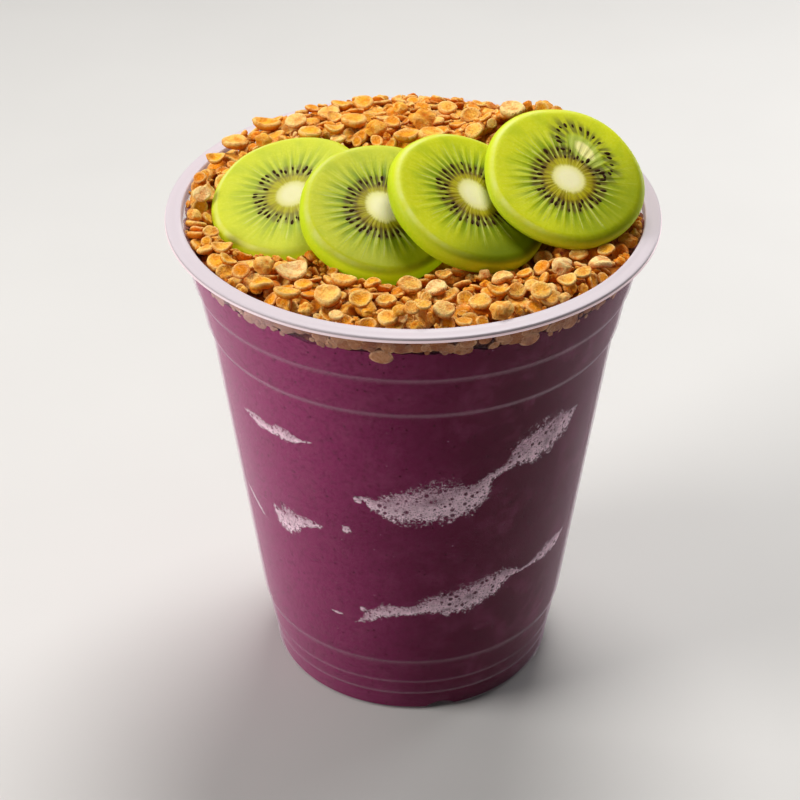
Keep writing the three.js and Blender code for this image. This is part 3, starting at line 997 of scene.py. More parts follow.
# flakes by kind: radius, width as a share of it, thickness, depth of the dish, bend and unevenness, in mm;
# one with a ring is marked right round its edge
flakeKinds = {
    "disc": [
        {"radius": 2.6, "width": 0.95, "thick": 1.45, "dish": 0.08, "bend": 0.05, "lump": 0.12},
        {"radius": 2.5, "width": 0.88, "thick": 1.5, "dish": 0.12, "bend": -0.2, "lump": 0.16},
        {"radius": 2.7, "width": 0.82, "thick": 1.35, "dish": 0.06, "bend": 0.25, "lump": 0.15},
        {"radius": 2.45, "width": 0.97, "thick": 1.6, "dish": 0.12, "bend": 0.1, "lump": 0.14},
        {"radius": 2.65, "width": 0.9, "thick": 1.3, "dish": 0.05, "bend": -0.15, "lump": 0.14},
        {"radius": 2.55, "width": 0.78, "thick": 1.5, "dish": 0.1, "bend": 0.2, "lump": 0.2},
    ],
    "folded": [
        {"radius": 2.9, "width": 0.76, "thick": 1.5, "dish": 0.18, "bend": 1.1, "lump": 0.17},
        {"radius": 2.8, "width": 0.68, "thick": 1.8, "dish": 0.2, "bend": -0.8, "lump": 0.2},
        {"radius": 3.1, "width": 0.6, "thick": 1.7, "dish": 0.24, "bend": 0.6, "lump": 0.2},
    ],
    "curled": [{"radius": 3.0, "width": 0.86, "thick": 1.2, "dish": 0.3, "bend": 0.95, "lump": 0.12}],
    "pressed": [
        {"radius": 2.6, "width": 0.92, "thick": 1.3, "dish": 0.12, "bend": 0.08, "lump": 0.03, "ring": True},
        {"radius": 2.6, "width": 0.74, "thick": 1.2, "dish": 0.1, "bend": 0.08, "lump": 0.04, "ring": True},
        {"radius": 2.5, "width": 0.84, "thick": 1.4, "dish": 0.14, "bend": 0.1, "lump": 0.05, "ring": True},
    ],
}

# clusters and crumbs: how many forms, their radius, its shares along each axis, how lumpy they are and
# how finely they are divided
chunkKinds = {
    "chunk": {"forms": 5, "radius": 1.75, "share": (1.15, 0.95, 0.8), "lump": 0.42, "fineness": 3},
    "crumb": {"forms": 5, "radius": 0.66, "share": (1.25, 0.95, 0.6), "lump": 0.6, "fineness": 2},
}


# the flakes that stand out: dot of the render, length in mm, how far the face leans to the front in
# degrees, kind, and shade from 0 for dark to 1 for pale
standouts = [
    (292, 272, 6.6, 4, "curled", 1.0), (328, 296, 5.5, 9, "disc", 0.85), (410, 285, 4.8, 20, "disc", 0.8),
    (241, 271, 3.8, 30, "disc", 0.25), (220, 269, 4.6, 18, "folded", 0.9), (287, 294, 5.2, -6, "folded", 0.7),
    (305, 301, 3.4, 20, "chunk", 0.7), (262, 283, 4.9, -6, "folded", 0.6), (263, 268, 3.8, 20, "chunk", 0.8),
    (336, 309, 2.9, 4, "disc", 0.95), (338, 317, 4.4, -6, "disc", 0.6), (344, 281, 5.5, -4, "folded", 0.75),
    (360, 300, 4.8, 18, "curled", 0.6), (368, 312, 2.5, 10, "chunk", 0.6), (373, 284, 3.4, 4, "folded", 0.6),
    (386, 301, 4.1, 9, "disc", 0.7), (388, 318, 4.1, 9, "disc", 0.75), (400, 311, 3.0, 15, "chunk", 0.65),
    (412, 317, 3.1, 20, "disc", 0.8), (418, 304, 2.7, 10, "chunk", 0.7), (222, 248, 4.3, 2, "folded", 0.7),
    (264, 293, 3.8, 0, "chunk", 0.6), (436, 288, 4.5, 7, "disc", 1.0), (444, 310, 4.3, 10, "disc", 0.9),
    (423, 306, 2.9, 12, "chunk", 0.6), (424, 317, 3.1, 8, "disc", 0.7), (444, 275, 3.4, 12, "folded", 0.75),
    (484, 274, 2.6, 35, "chunk", 0.95), (503, 277, 4.6, -2, "folded", 0.9), (543, 257, 4.0, 38, "disc", 0.85),
    (579, 254, 4.7, 7, "disc", 0.85), (606, 250, 3.6, 18, "disc", 0.6), (600, 262, 4.7, -2, "folded", 1.0),
    (562, 267, 3.9, 15, "chunk", 1.0), (583, 273, 3.7, 14, "disc", 0.75), (567, 281, 4.1, 5, "curled", 0.8),
    (541, 291, 4.2, 20, "disc", 0.7), (517, 291, 3.7, 34, "disc", 0.75), (480, 302, 4.5, 11, "disc", 0.75),
    (498, 292, 4.5, -10, "folded", 0.6), (502, 307, 4.8, -8, "chunk", 0.8), (492, 317, 3.7, -6, "disc", 0.9),
    (531, 304, 3.8, -6, "disc", 0.7), (464, 322, 3.7, 0, "disc", 0.7), (564, 298, 2.5, 10, "chunk", 0.9),
    (469, 291, 2.5, 10, "chunk", 0.7), (636, 219, 4.4, 25, "disc", 0.15), (629, 241, 4.6, 5, "chunk", 0.4),
    (620, 257, 2.6, 15, "chunk", 0.3), (411, 97, 4.8, 13, "disc", 0.75), (329, 113, 4.8, 9, "disc", 0.85),
    (296, 123, 4.9, 10, "disc", 0.9), (267, 126, 6.4, -2, "folded", 0.6), (296, 113, 3.6, 10, "chunk", 0.25),
    (264, 141, 3.7, 12, "chunk", 0.6), (235, 143, 5.7, -2, "disc", 0.8), (321, 106, 2.7, 10, "chunk", 0.7),
    (342, 106, 5.0, -10, "folded", 0.6), (364, 104, 4.3, 14, "disc", 0.6), (354, 121, 5.4, -4, "disc", 0.65),
    (375, 129, 5.0, 16, "chunk", 0.6), (392, 123, 3.6, 10, "disc", 0.5), (406, 134, 4.7, -4, "folded", 0.9),
    (310, 133, 5.0, -2, "disc", 0.6), (216, 159, 4.1, 10, "folded", 0.6), (202, 194, 3.9, 34, "disc", 1.0),
    (200, 178, 2.9, 30, "disc", 0.2), (338, 139, 3.6, 5, "disc", 0.9), (334, 130, 4.3, -8, "folded", 0.7),
    (447, 109, 4.1, 13, "disc", 0.75), (470, 116, 4.6, 40, "disc", 0.7), (512, 110, 5.1, 10, "disc", 0.95),
    (494, 124, 5.6, 10, "chunk", 0.7), (422, 120, 6.4, 0, "chunk", 0.65), (407, 137, 5.6, 2, "folded", 0.5),
    (431, 136, 5.2, 0, "disc", 0.7), (400, 109, 3.6, 10, "chunk", 0.6), (194, 215, 3.3, 15, "chunk", 0.85),
    (211, 232, 3.3, 30, "disc", 0.75), (200, 253, 4.2, 30, "folded", 0.45), (187, 204, 2.8, 25, "chunk", 0.2),
]


# flakes pressed against the wall: some by dot, length in mm and shade, and the others at random
pressed = {
    "dots": [(381, 358, 5.4, 0.9), (531, 340, 5.0, 0.75), (469, 344, 3.8, 0.8), (572, 323, 4.6, 0.8)],
    "dotForm": 1,
    "proud": 0.15,  # how much further into the wall than the acai these lie
    "count": 150,  # others round the cup
    "reach": (0.1, 0.2),  # how far those press into the wall
    "low": 100.5,
    "high": 103.4,
    "sizes": (0.5, 0.95),
    "bits": 110,  # small bits along the lower edge
    "bitForm": 2,
    "bitLow": 99.7,
    "bitHigh": 101.4,
    "bitReach": (0.2, 0.28),
    "bitSizes": (0.14, 0.34),
}


def discFlake(name, form, seed):
    radius, thick, dish = form["radius"], form["thick"], form["dish"]
    profile = [
        (0, 0), (0.6 * radius, 0), (0.84 * radius, 0.08 * thick), (0.96 * radius, 0.32 * thick),
        (radius, 0.56 * thick), (0.97 * radius, 0.8 * thick), (0.9 * radius, 0.95 * thick),
        (0.82 * radius, thick), (0.7 * radius, thick - 0.45 * dish), (0.48 * radius, thick - 0.9 * dish),
        (0, thick - dish),
    ]
    flake = spun(name, profile, 16)
    places = pointsOf(flake)
    reach = np.hypot(places[:, 0], places[:, 1]) / radius
    # rim marks the upper edge that is painted paler, partly highlight, and under the lower part for painted
    # shade
    rim = np.clip((reach - 0.62) / 0.2, 0, 1) * (places[:, 2] > 0.7 * thick)
    if "ring" in form:
        rim = np.clip((reach - 0.6) / 0.36, 0, 1)
    under = np.clip((0.8 * thick - places[:, 2]) / (0.5 * thick), 0, 1)
    angle = np.arctan2(places[:, 1], places[:, 0])
    outline = 1 + 0.035 * np.sin(2 * angle + seed) + 0.03 * np.sin(3 * angle + 2 * seed)
    outline += 0.022 * np.sin(5 * angle + 3 * seed)
    places[:, 0] *= outline
    places[:, 1] *= outline * form["width"]
    places[:, 2] += form["bend"] * (places[:, 0] / radius) ** 2 - 0.5 * thick
    # a shallow crease along the flake's face
    crease = np.exp(-(((places[:, 1] - 0.2 * places[:, 0]) / 0.45) ** 2))
    crease = crease * (reach < 0.75) * (places[:, 2] > 0)
    places[:, 2] -= 0.12 * crease
    for axis in range(3):
        places[:, axis] += form["lump"] * softNoise(places, 1.8, seed + axis)
    movePoints(flake, places)
    addLayer(flake, "rim", rim)
    addLayer(flake, "under", under)
    return flake


def chunkFlake(name, kind, seed):
    # a knobbly cluster of small bits baked together
    deselectAll()
    bpy.ops.mesh.primitive_ico_sphere_add(subdivisions=kind["fineness"], radius=kind["radius"] * mm)
    chunk = added(name)
    places = pointsOf(chunk)
    size = kind["radius"] / 1.7
    knobs = 1 + kind["lump"] * softNoise(places, 1.5 * size, seed)
    knobs += 0.5 * kind["lump"] * softNoise(places, 0.8 * size, seed + 1)
    places *= knobs[:, None] * np.array(kind["share"])
    movePoints(chunk, places)
    # rim marks the knobs, painted paler as partly highlight, and under marks the hollows for painted shade
    addLayer(chunk, "rim", np.clip((knobs - 0.95) / 0.4, 0, 1))
    addLayer(chunk, "under", np.clip((1.0 - knobs) / 0.3, 0, 1))
    return chunk


def surfaceSamples(thing):
    # corners, edge middles and face middles of all faces in mm, dense enough to test a fit with
    places = pointsOf(thing)
    samples = [places]
    for face in thing.data.polygons:
        corners = places[list(face.vertices)]
        samples.append(0.5 * (corners + np.roll(corners, 1, 0)))
        samples.append(corners.mean(0)[None])
    return np.concatenate(samples)


packing = {
    "cell": 0.5,  # of the grid that holds the pile's height
    "half": 50.0,  # half the width of the grid
    "rise": (0.2, 0.5),  # of the flakes above the heap's surface: next to a slice, and more away from it
    "frontDrop": 0.45,  # at the right front they stay lower along the wall
    "reach": 45.2,  # no flake is dropped further out
    "under": -1.2,  # nor further in under a slice
    "rimTop": 106.75,  # above it flakes keep inside one of the next two radii
    "overRear": 46.9,
    "overRim": 45.5,
    "rear": 15,  # where the rear starts
    "collar": 103,  # between it and the rim's top they keep inside the next radius
    "inCollar": 45.3,
    "inCup": 45.0,
    "tuck": 0.9,  # how far a flake may reach in under a slice's edge
    "bite": 1.0,  # how far it may reach up into that edge
    "sink": 0.35,  # how far it settles between those below it
    "standoutSink": 0.3,
    "cover": 0.14,  # the most of it that may lie on a flake that stands out
    "flipped": 0.04,  # share of upside-down flakes
    "wild": 0.15,  # share of flakes that lie at a wild angle
    "tries": 4,
}


class Pile:
    # the height of the heap on a fine grid, as flakes are dropped on it one by one
    def __init__(self):
        self.cell = packing["cell"]
        self.half = packing["half"]
        count = int(2 * self.half / self.cell)
        middle = (np.arange(count) + 0.5) * self.cell - self.half
        self.x, self.y = np.meshgrid(middle, middle, indexing="ij")
        self.radius = np.hypot(self.x, self.y)
        self.toSlice = [(np.array(slicePlace(piece).inverted()), piece) for piece in slices]
        outside = besideSlices(self.x, self.y)
        near, away = packing["rise"]
        self.target = heapHeight(self.x, self.y) + near + away * smooth(outside, 0, 5)
        front = smooth(self.radius, 40, 44) * smooth(self.x - self.y, -10, 25)
        self.target -= packing["frontDrop"] * front
        self.top = bedHeight(self.x, self.y)
        self.closed = (self.radius > packing["reach"]) | (outside < packing["under"])
        self.kept = np.zeros(self.x.shape, bool)
        self.loose = False  # whether what is dropped may also touch the slices

    def index(self, points):
        cells = ((points[:, :2] + self.half) / self.cell).astype(int)
        return np.clip(cells, 0, self.x.shape[0] - 1)

    def touches(self, points):
        radius = np.hypot(points[:, 0], points[:, 1])
        overRim = np.where(points[:, 1] > packing["rear"], packing["overRear"], packing["overRim"])
        inCup = np.where(points[:, 2] > packing["collar"], packing["inCollar"], packing["inCup"])
        if np.any(radius > np.where(points[:, 2] > packing["rimTop"], overRim, inCup)):
            return True
        if self.loose:
            return False
        for inverse, piece in self.toSlice:
            local = points @ inverse[:3, :3].T + inverse[:3, 3]
            across = np.hypot(local[:, 0], local[:, 1])
            inReach = across < piece["radius"] * (1 + piece["long"]) - packing["tuck"]
            if np.any(inReach & (local[:, 2] > -piece["thickness"] + packing["bite"])):
                return True
        return False

    def lean(self, x, y, reach):
        # the slope of the pile round a place
        near = (np.abs(self.x - x) < reach) & (np.abs(self.y - y) < reach)
        columns = np.stack([self.x[near] - x, self.y[near] - y, np.ones(near.sum())], 1)
        slope = np.linalg.lstsq(columns, self.top[near], rcond=None)[0]
        return Vector((-slope[0], -slope[1], 1)).normalized()

    def rest(self, samples, turn, size, x, y, sink):
        # lets a turned flake down on the pile and says how high its middle lies
        points = samples @ (np.array(turn.to_matrix()) * size).T + np.array([x, y, 0])
        cells = self.index(points)
        rise = np.max(self.top[cells[:, 0], cells[:, 1]] - points[:, 2]) - sink
        points[:, 2] += rise
        return rise, points, cells

    def drop(self, samples, x, y, size, dice, wild, over):
        # the best resting place of a flake out of a few tries, or None
        best = None
        up = self.lean(x, y, 1.6 * size + 0.5)
        for _ in range(packing["tries"]):
            turn = Vector((0, 0, 1)).rotation_difference(up)
            bearing = dice.uniform(0, 2 * math.pi)
            axis = Vector((math.cos(bearing), math.sin(bearing), 0))
            turn = turn @ Quaternion(axis, dice.uniform(0, wild))
            turn = turn @ Quaternion((0, 0, 1), dice.uniform(0, 6.283))
            if dice.random() < packing["flipped"]:
                turn = turn @ Quaternion((1, 0, 0), math.pi)
            rise, points, cells = self.rest(samples, turn, size, x, y, packing["sink"])
            above = np.quantile(points[:, 2] - self.target[cells[:, 0], cells[:, 1]], 0.85)
            if above > over + wild * 0.8 or self.touches(points):
                continue
            if self.kept[cells[:, 0], cells[:, 1]].mean() > packing["cover"]:
                continue
            if best is None or rise < best[0]:
                best = (rise, turn, points, cells)
        return best

    def add(self, points, cells):
        np.maximum.at(self.top, (cells[:, 0], cells[:, 1]), points[:, 2])

    def lowest(self, field, short):
        # the cell that is furthest below its target, and how much is missing there
        lack = np.where(self.closed, -9, self.target - self.top) + 0.5 * field.random(self.x.shape)
        spot = np.unravel_index(np.argmax(lack), lack.shape)
        return spot, self.target[spot] - self.top[spot] - short


class Flakes:
    # the forms that flakes are copied from, and the copies by kind
    def __init__(self):
        self.masters = {}
        for kind, forms in flakeKinds.items():
            things = []
            for number, form in enumerate(forms):
                things.append(discFlake(f"{kind} {number}", form, 1.7 * number + len(kind)))
            self.masters[kind] = things
        for kind, form in chunkKinds.items():
            things = [chunkFlake(f"{kind} {number}", form, 3.0 + number) for number in range(form["forms"])]
            self.masters[kind] = things
        self.samples = {}
        for kind, things in self.masters.items():
            self.samples[kind] = [surfaceSamples(thing) for thing in things]
        self.copies = {kind: [] for kind in self.masters}

    def halfLength(self, kind, choice):
        return float(np.abs(self.samples[kind][choice][:, 0]).max())

    def add(self, kind, choice, place, turn, size, shade):
        spot = Matrix.Translation(place) @ turn.to_matrix().to_4x4() @ Matrix.Scale(size, 4)
        self.copies[kind].append(copyOf(self.masters[kind][choice], spot, shade))

    def clear(self):
        for things in self.masters.values():
            for thing in things:
                bpy.data.objects.remove(thing)


def pressFlake(flakes, pile, spot, choice, size, shade, spin, reach):
    # a flake flat against the inside of the wall, its underside outwards and its length level
    angle, height = spot
    outward = Vector((math.cos(angle), math.sin(angle), 0))
    level = Vector((-outward.y, outward.x, 0))
    inward = -Vector((outward.x, outward.y, innerRadius(0) - innerRadius(1))).normalized()
    upright = Matrix((level, inward.cross(level), inward)).transposed()
    turn = upright.to_quaternion() @ Quaternion((0, 0, 1), spin)
    points = flakes.samples["pressed"][choice] @ (np.array(turn.to_matrix()) * size).T
    points = points + np.array([0, 0, height])
    start = 40.0
    points[:, :2] += start * np.array(outward)[:2]
    room = innerRadius(points[:, 2]) - np.hypot(points[:, 0], points[:, 1])
    start += room.min() + reach
    points[:, :2] += (room.min() + reach) * np.array(outward)[:2]
    place = Vector((start * outward.x, start * outward.y, height))
    flakes.add("pressed", choice, place, turn, size, shade)
    pile.add(points, pile.index(points))


def pressFlakes(flakes, pile, dice):
    form = pressed["dotForm"]
    for across, down, length, shade in pressed["dots"]:
        size = 0.5 * length / flakes.halfLength("pressed", form)
        spot = onWall((across, down))
        pressFlake(flakes, pile, spot, form, size, shade, 0.1, acai["reach"] + pressed["proud"])
    for number in range(pressed["count"]):
        angle = 2 * math.pi * (number + dice.uniform(-0.4, 0.4)) / pressed["count"]
        height = dice.uniform(pressed["low"], pressed["high"])
        size = dice.uniform(*pressed["sizes"])
        choice = dice.randrange(len(flakes.masters["pressed"]))
        reach = dice.uniform(*pressed["reach"])
        shade = dice.uniform(0.2, 1)
        spin = dice.uniform(-0.6, 0.6)
        pressFlake(flakes, pile, (angle, height), choice, size, shade, spin, reach)
    for _ in range(pressed["bits"]):
        angle = dice.uniform(0, 2 * math.pi)
        height = pressed["bitLow"] + (pressed["bitHigh"] - pressed["bitLow"]) * dice.random() ** 0.6
        reach = dice.uniform(*pressed["bitReach"])
        size = dice.uniform(*pressed["bitSizes"])
        shade = dice.random()
        spin = dice.uniform(-1, 1)
        pressFlake(flakes, pile, (angle, height), pressed["bitForm"], size, shade, spin, reach)


def placeStandout(flakes, pile, row, dice):
    # rests one flake on the pile so that its middle lies on the sight line through its dot
    across, down, length, lean, kind, shade = row
    line = sightLine(across, down)
    eye = Vector(view["place"])
    start = firstHit((across, down), lambda place: place.z < heapHeight(place.x, place.y) + 0.8)
    for attempt in range(5):
        choice = dice.randrange(len(flakes.masters[kind]))
        size = 0.5 * length / flakes.halfLength(kind, choice) * (1 - 0.05 * attempt)
        forward = math.radians(lean * (1 - 0.2 * attempt))
        sideways = math.radians(dice.uniform(-8, 8))
        up = Vector((math.sin(sideways), -math.sin(forward), math.cos(forward))).normalized()
        spin = math.radians(dice.uniform(-25, 25) + 180 * dice.randrange(2))
        turn = Vector((0, 0, 1)).rotation_difference(up) @ Quaternion((0, 0, 1), spin)
        samples = flakes.samples[kind][choice]
        height = start.z
        for _ in range(6):
            spot = eye + line * ((height - eye.z) / line.z)
            rise, points, cells = pile.rest(samples, turn, size, spot.x, spot.y, packing["standoutSink"])
            height += 0.6 * (rise - height)
        if not pile.touches(points):
            flakes.add(kind, choice, (spot.x, spot.y, rise), turn, size, shade)
            pile.add(points, cells)
            pile.closed[cells[:, 0], cells[:, 1]] = True
            pile.kept[cells[:, 0], cells[:, 1]] = True
            # what lies just in front stays lower, so that the flake shows
            front = (pile.y < spot.y) & (pile.y > spot.y - 0.5 * length - 2)
            front &= np.abs(pile.x - spot.x) < 0.4 * length
            pile.target[front] = np.minimum(pile.target[front], rise - 0.1)
            return True
    return False


# how the heap is filled: the share of each kind, their sizes, how far below its target the pile stops,
# how far a flake may stand above it, the most flakes, and how far from the middle they are dropped
mixed = {"disc": 0.46, "folded": 0.3, "chunk": 0.24}
bulk = [
    {"kinds": mixed, "sizes": (0.92, 1.18), "short": 1.4, "over": 0.4, "most": 320, "reach": 43.2},
    {"kinds": mixed, "sizes": (0.85, 1.12), "short": 1.0, "over": 0.6, "most": 240, "reach": 43.4},
]
cover = [
    {"kinds": mixed, "sizes": (0.85, 1.15), "short": 0.4, "over": 1.1, "most": 300, "reach": 43.4},
    {"kinds": {"chunk": 0.5, "disc": 0.5}, "sizes": (0.55, 0.85), "short": 0.8, "over": 0.8, "most": 220,
     "reach": 44.2},
]
loose = [
    {"kinds": {"chunk": 0.5, "crumb": 0.5}, "sizes": (0.5, 0.8), "short": 1.1, "over": 0.5, "most": 120,
     "reach": 44.2},
    {"kinds": {"crumb": 1.0}, "sizes": (0.8, 1.6), "short": 1.15, "over": 0.6, "most": 220, "reach": 44.8},
]


def fillPile(flakes, pile, dice, field, step):
    # drops flakes where the pile is lowest until it is high enough or the flakes are used up
    kinds = step["kinds"]
    before = pile.closed.copy()
    pile.closed |= pile.radius > step["reach"]
    placed = 0
    for _ in range(3 * step["most"]):
        spot, lack = pile.lowest(field, step["short"])
        if lack < 0 or placed == step["most"]:
            break
        x = pile.x[spot] + dice.uniform(-0.4, 0.4)
        y = pile.y[spot] + dice.uniform(-0.4, 0.4)
        found = None
        for share in (1, 0.84, 0.68):  # smaller ones are tried where a flake doesn't fit
            kind = dice.choices(list(kinds), kinds.values())[0]
            choice = dice.randrange(len(flakes.masters[kind]))
            size = dice.uniform(*step["sizes"]) * share
            wild = 0.9 if dice.random() < packing["wild"] else 0.3
            found = pile.drop(flakes.samples[kind][choice], x, y, size, dice, wild, step["over"])
            if found:
                break
        if found:
            rise, turn, points, cells = found
            flakes.add(kind, choice, (x, y, rise), turn, size, dice.betavariate(2.2, 1.9))
            pile.add(points, cells)
            placed += 1
        else:
            pile.closed |= np.hypot(pile.x - x, pile.y - y) < 0.8
    pile.closed = before
    print("flakes dropped:", placed)


def makeGranola():
    makeCore()
    dice = random.Random(5)
    field = np.random.default_rng(5)
    flakes = Flakes()
    pile = Pile()
    pressFlakes(flakes, pile, dice)
    for step in bulk:
        fillPile(flakes, pile, dice, field, step)
    shown = sum(placeStandout(flakes, pile, row, dice) for row in standouts)
    print("flakes that stand out:", shown, "of", len(standouts))
    for step in cover:
        fillPile(flakes, pile, dice, field, step)
    pile.loose = True
    for step in loose:
        fillPile(flakes, pile, dice, field, step)
    look = flakePaint("toasted oat flakes")
    soaked = flakePaint("soaked oat flakes", wet=True)
    groups = {
        "granola_discs": flakes.copies["disc"] + flakes.copies["curled"],
        "granola_folded": flakes.copies["folded"],
        "granola_chunks": flakes.copies["chunk"],
        "granola_crumbs": flakes.copies["crumb"],
        "granola_pressed": flakes.copies["pressed"],
    }
    for name, things in groups.items():
        piece = joined(name, things)
        smoothShade(piece, 50)
        settle(piece, soaked if name == "granola_pressed" else look, "granola", "granola")
        triangles = sum(len(face.vertices) - 2 for face in piece.data.polygons)
        print(f"{name}: {len(things)} copies, {triangles} triangles")
    flakes.clear()


# the foam between the acai and the wall: each streak runs through dots of the render, with its width
# there in dots; holes are where the foam thins out, by dot and half width and height in mm
foam = {
    "inset": 0.28,  # below the cup's outer surface
    "thickness": 0.05,
    "step": 0.6,  # between rows of points, in mm
    "across": 13,
    "perMm": 4.9,  # dots of the render to a millimetre of the wall
    "spread": 0.95,  # a strip's half width as a share of the streak's width
    "holes": [
        (435, 503, 1.9, 0.8), (547, 442, 0.9, 1.0), (556, 430, 0.6, 0.8), (471, 597, 1.4, 0.7),
        (446, 611, 1.2, 0.5),
    ],
    "streaks": [
        [(352, 497, 1), (366, 500, 5), (373, 505, 12), (388, 507, 23), (406, 508, 30), (428, 505, 35),
         (450, 502, 33), (468, 498, 29), (480, 491, 20), (487, 482, 10), (495, 475, 7), (507, 468, 7),
         (515, 461, 13), (524, 453, 26), (539, 443, 32), (553, 432, 30), (564, 422, 24), (572, 413, 13),
         (579, 404, 2)],
        [(354, 623, 1), (366, 619, 7), (374, 615, 10), (385, 611, 12), (400, 612, 10), (414, 611, 9),
         (428, 607, 15), (444, 604, 21), (460, 601, 24), (476, 594, 24), (490, 586, 23), (503, 577, 17),
         (511, 572, 9), (520, 571, 3), (531, 564, 3), (539, 557, 9), (547, 549, 14), (555, 541, 13),
         (561, 532, 7), (566, 523, 1)],
        [(272, 501, 2), (277, 511, 12), (283, 518, 23), (292, 519, 20), (301, 522, 9), (314, 525, 7),
         (326, 529, 1)],
        [(243, 408, 1), (250, 414, 7), (258, 421, 10), (267, 428, 6), (280, 433, 11), (291, 439, 10),
         (298, 441, 3), (313, 444, 1)],
        [(246, 480, 1), (252, 493, 4), (260, 508, 4), (267, 520, 1)],
        [(341, 526, 2), (346, 530, 9), (351, 534, 2)],
        [(352, 497, 2), (357, 501, 6), (362, 504, 2)],
        [(359, 607, 2), (363, 610, 5), (367, 613, 2)],
        [(331, 610, 1), (338, 613, 3), (344, 615, 1)],
    ],
}


def foamThinness(angle, height, radius):
    # 1 in the middle of each hole and 0 away from them
    thin = np.zeros(len(angle))
    for across, down, halfWidth, halfHeight in foam["holes"]:
        holeAngle, holeHeight = onWall((across, down))
        far = ((angle - holeAngle) * radius / halfWidth) ** 2 + ((height - holeHeight) / halfHeight) ** 2
        thin = np.maximum(thin, np.exp(-far))
    return thin


def foamStrip(number, streak):
    # a flat grid laid along the streak, then wrapped round the wall
    spine = []
    for across, down, width in streak:
        angle, height = onWall((across, down))
        spine.append((angle * wallRadius(height), height, width / foam["perMm"]))
    spine = np.array(spine)
    lengths = np.concatenate([[0], np.cumsum(np.hypot(*np.diff(spine[:, :2], axis=0).T))])
    rows = max(8, int(lengths[-1] / foam["step"]))
    deselectAll()
    bpy.ops.mesh.primitive_grid_add(x_subdivisions=rows, y_subdivisions=foam["across"] - 1, size=2)
    strip = added(f"streak {number}")
    plan = pointsOf(strip) * mm
    along = (plan[:, 0] + 1) / 2 * lengths[-1]
    middle = np.stack([np.interp(along, lengths, spine[:, k]) for k in range(3)], 1)
    ahead = np.stack([np.interp(along + 1.2, lengths, spine[:, k]) for k in range(2)], 1)
    behind = np.stack([np.interp(along - 1.2, lengths, spine[:, k]) for k in range(2)], 1)
    heading = (ahead - behind) / np.linalg.norm(ahead - behind, axis=1)[:, None]
    offset = foam["spread"] * middle[:, 2] * plan[:, 1]
    height = middle[:, 1] + heading[:, 0] * offset
    radius = np.array([wallRadius(level) for level in height])
    turned = middle[:, 0] / np.array([wallRadius(level) for level in middle[:, 1]])
    angle = turned - heading[:, 1] * offset / radius
    thin = foamThinness(angle, height, radius)
    radius -= foam["inset"]
    movePoints(strip, np.stack([radius * np.cos(angle), radius * np.sin(angle), height], 1))
    ends = np.clip(0.2 + np.minimum(along, lengths[-1] - along) / min(5, 0.35 * lengths[-1]), 0, 1)
    addLayer(strip, "edge", (1 - np.abs(plan[:, 1])) * ends)
    addLayer(strip, "low", 0.5 - 0.5 * plan[:, 1])
    addLayer(strip, "thin", thin)
    return strip


def foamPaint():
    paint = Paint("acai foam", Roughness=0.55, IOR=1.2)
    place = paint.place()
    edge = paint.layer("edge")
    low = paint.layer("low")
    thin = paint.layer("thin")
    ragged = paint.noise(place, 2.0, 5, 0.7)
    veil = paint.noise(place, 3.4, 3, 0.6)
    fine = paint.noise(place, 0.5, 3, 0.7)
    size = paint.parts(paint.cells(place, 1.3, output="Color"))[0]
    holes = paint.span(paint.cells(place, 1.3) - 0.26 * size, 0.2, 0.05) * (size > 0.15)
    pores = paint.span(paint.cells(place, 0.6), 0.4, 0.16)
    cover = paint.span(edge * (1.2 + 0.8 * low) + 2.3 * (ragged - 0.5) + 1.5 * (fine - 0.5), 0.24, 0.95)
    solid = 0.4 + 0.62 * low + 1.2 * (veil - 0.5) + 0.5 * (fine - 0.5)
    solid = paint.maths("MINIMUM", paint.maths("MAXIMUM", solid, 0.16), 1.0)
    paint.set("Alpha", cover * solid * (1 - 0.85 * holes) * (1 - 0.68 * pores) * (1 - 0.8 * thin))
    pale = paint.blend(paint.span(fine + 0.5 * low, 0.4, 0.95), colour(226, 176, 198), colour(253, 222, 236))
    paint.set("Base Color", paint.blend(0.5 * holes, pale, colour(120, 56, 86)))
    paint.bump(fine - holes, 0.12)
    return paint.material


def makeFoam():
    strips = [foamStrip(number, streak) for number, streak in enumerate(foam["streaks"], 1)]
    piece = joined("foam_streaks", strips)
    editAll(piece)
    bpy.ops.mesh.normals_make_consistent(inside=False)
    leaveEdit()
    thicken(piece, foam["thickness"])
    smoothShade(piece)
    settle(piece, foamPaint(), "acai")
    print("foam streaks:", len(strips))


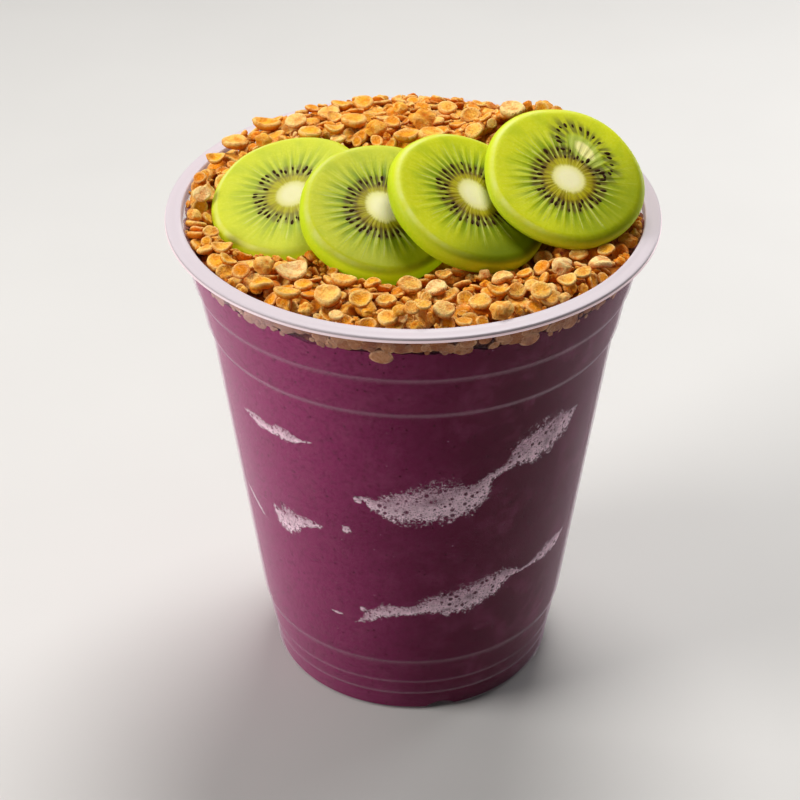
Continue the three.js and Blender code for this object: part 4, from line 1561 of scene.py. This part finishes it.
makeCup()
makeAcai()
makeFoam()
for number, piece in enumerate(slices, 1):
    makeSlice(number, piece)
print("kiwi slices made")
makeSeeds()
makeGranola()


# place and aim in mm, width in mm, power in watts and colour
lights = {
    "key": {
        "place": (-620, -165, 440), "aim": (0, 0, 90), "size": 380, "power": 4.2, "tint": (1.0, 0.985, 0.96),
    },
    "top": {
        "place": (60, 270, 640), "aim": (0, 0, 100), "size": 320, "power": 3.9, "tint": (1.0, 0.99, 0.975),
    },
    "edge": {
        "place": (420, 330, 160), "aim": (0, 0, 60), "size": 220, "power": 0.9, "tint": (0.97, 0.98, 1.0),
    },
}
room = {"tint": (0.95, 0.97, 1.0, 1.0), "strength": 0.1}


def aimed(place, target):
    return (Vector(target) - Vector(place)).to_track_quat("-Z", "Y").to_euler()


def makeCamera():
    deselectAll()
    place = Vector(view["place"]) * mm
    bpy.ops.object.camera_add(location=place, rotation=(math.radians(90 - view["down"]), 0, 0))
    camera = added("camera")
    camera.data.lens = view["lens"]
    camera.data.sensor_width = view["sensor"]
    camera.data.clip_start = 0.01
    bpy.context.scene.camera = camera


def makeLights():
    for name, lamp in lights.items():
        deselectAll()
        turn = aimed(lamp["place"], lamp["aim"])
        bpy.ops.object.light_add(type="AREA", location=Vector(lamp["place"]) * mm, rotation=turn)
        light = added(name)
        light.data.shape = "DISK"
        light.data.size = lamp["size"] * mm
        light.data.energy = lamp["power"]
        light.data.color = lamp["tint"]
    world = bpy.data.worlds.new("soft room")
    world.use_nodes = True
    background = world.node_tree.nodes["Background"]
    background.inputs["Color"].default_value = room["tint"]
    background.inputs["Strength"].default_value = room["strength"]
    bpy.context.scene.world = world
    bpy.context.scene.view_settings.view_transform = "Standard"


def makeFloor():
    deselectAll()
    bpy.ops.mesh.primitive_plane_add(size=4)
    floor = added("floor")
    paint = Paint("pale floor", Roughness=0.7)
    grain = paint.noise(paint.place(), 60, 2)
    paint.set("Base Color", paint.blend(grain, colour(214, 212, 209), colour(208, 206, 203)))
    floor.data.materials.append(paint.material)


makeCamera()
makeLights()
makeFloor()
print("camera, light and floor made")
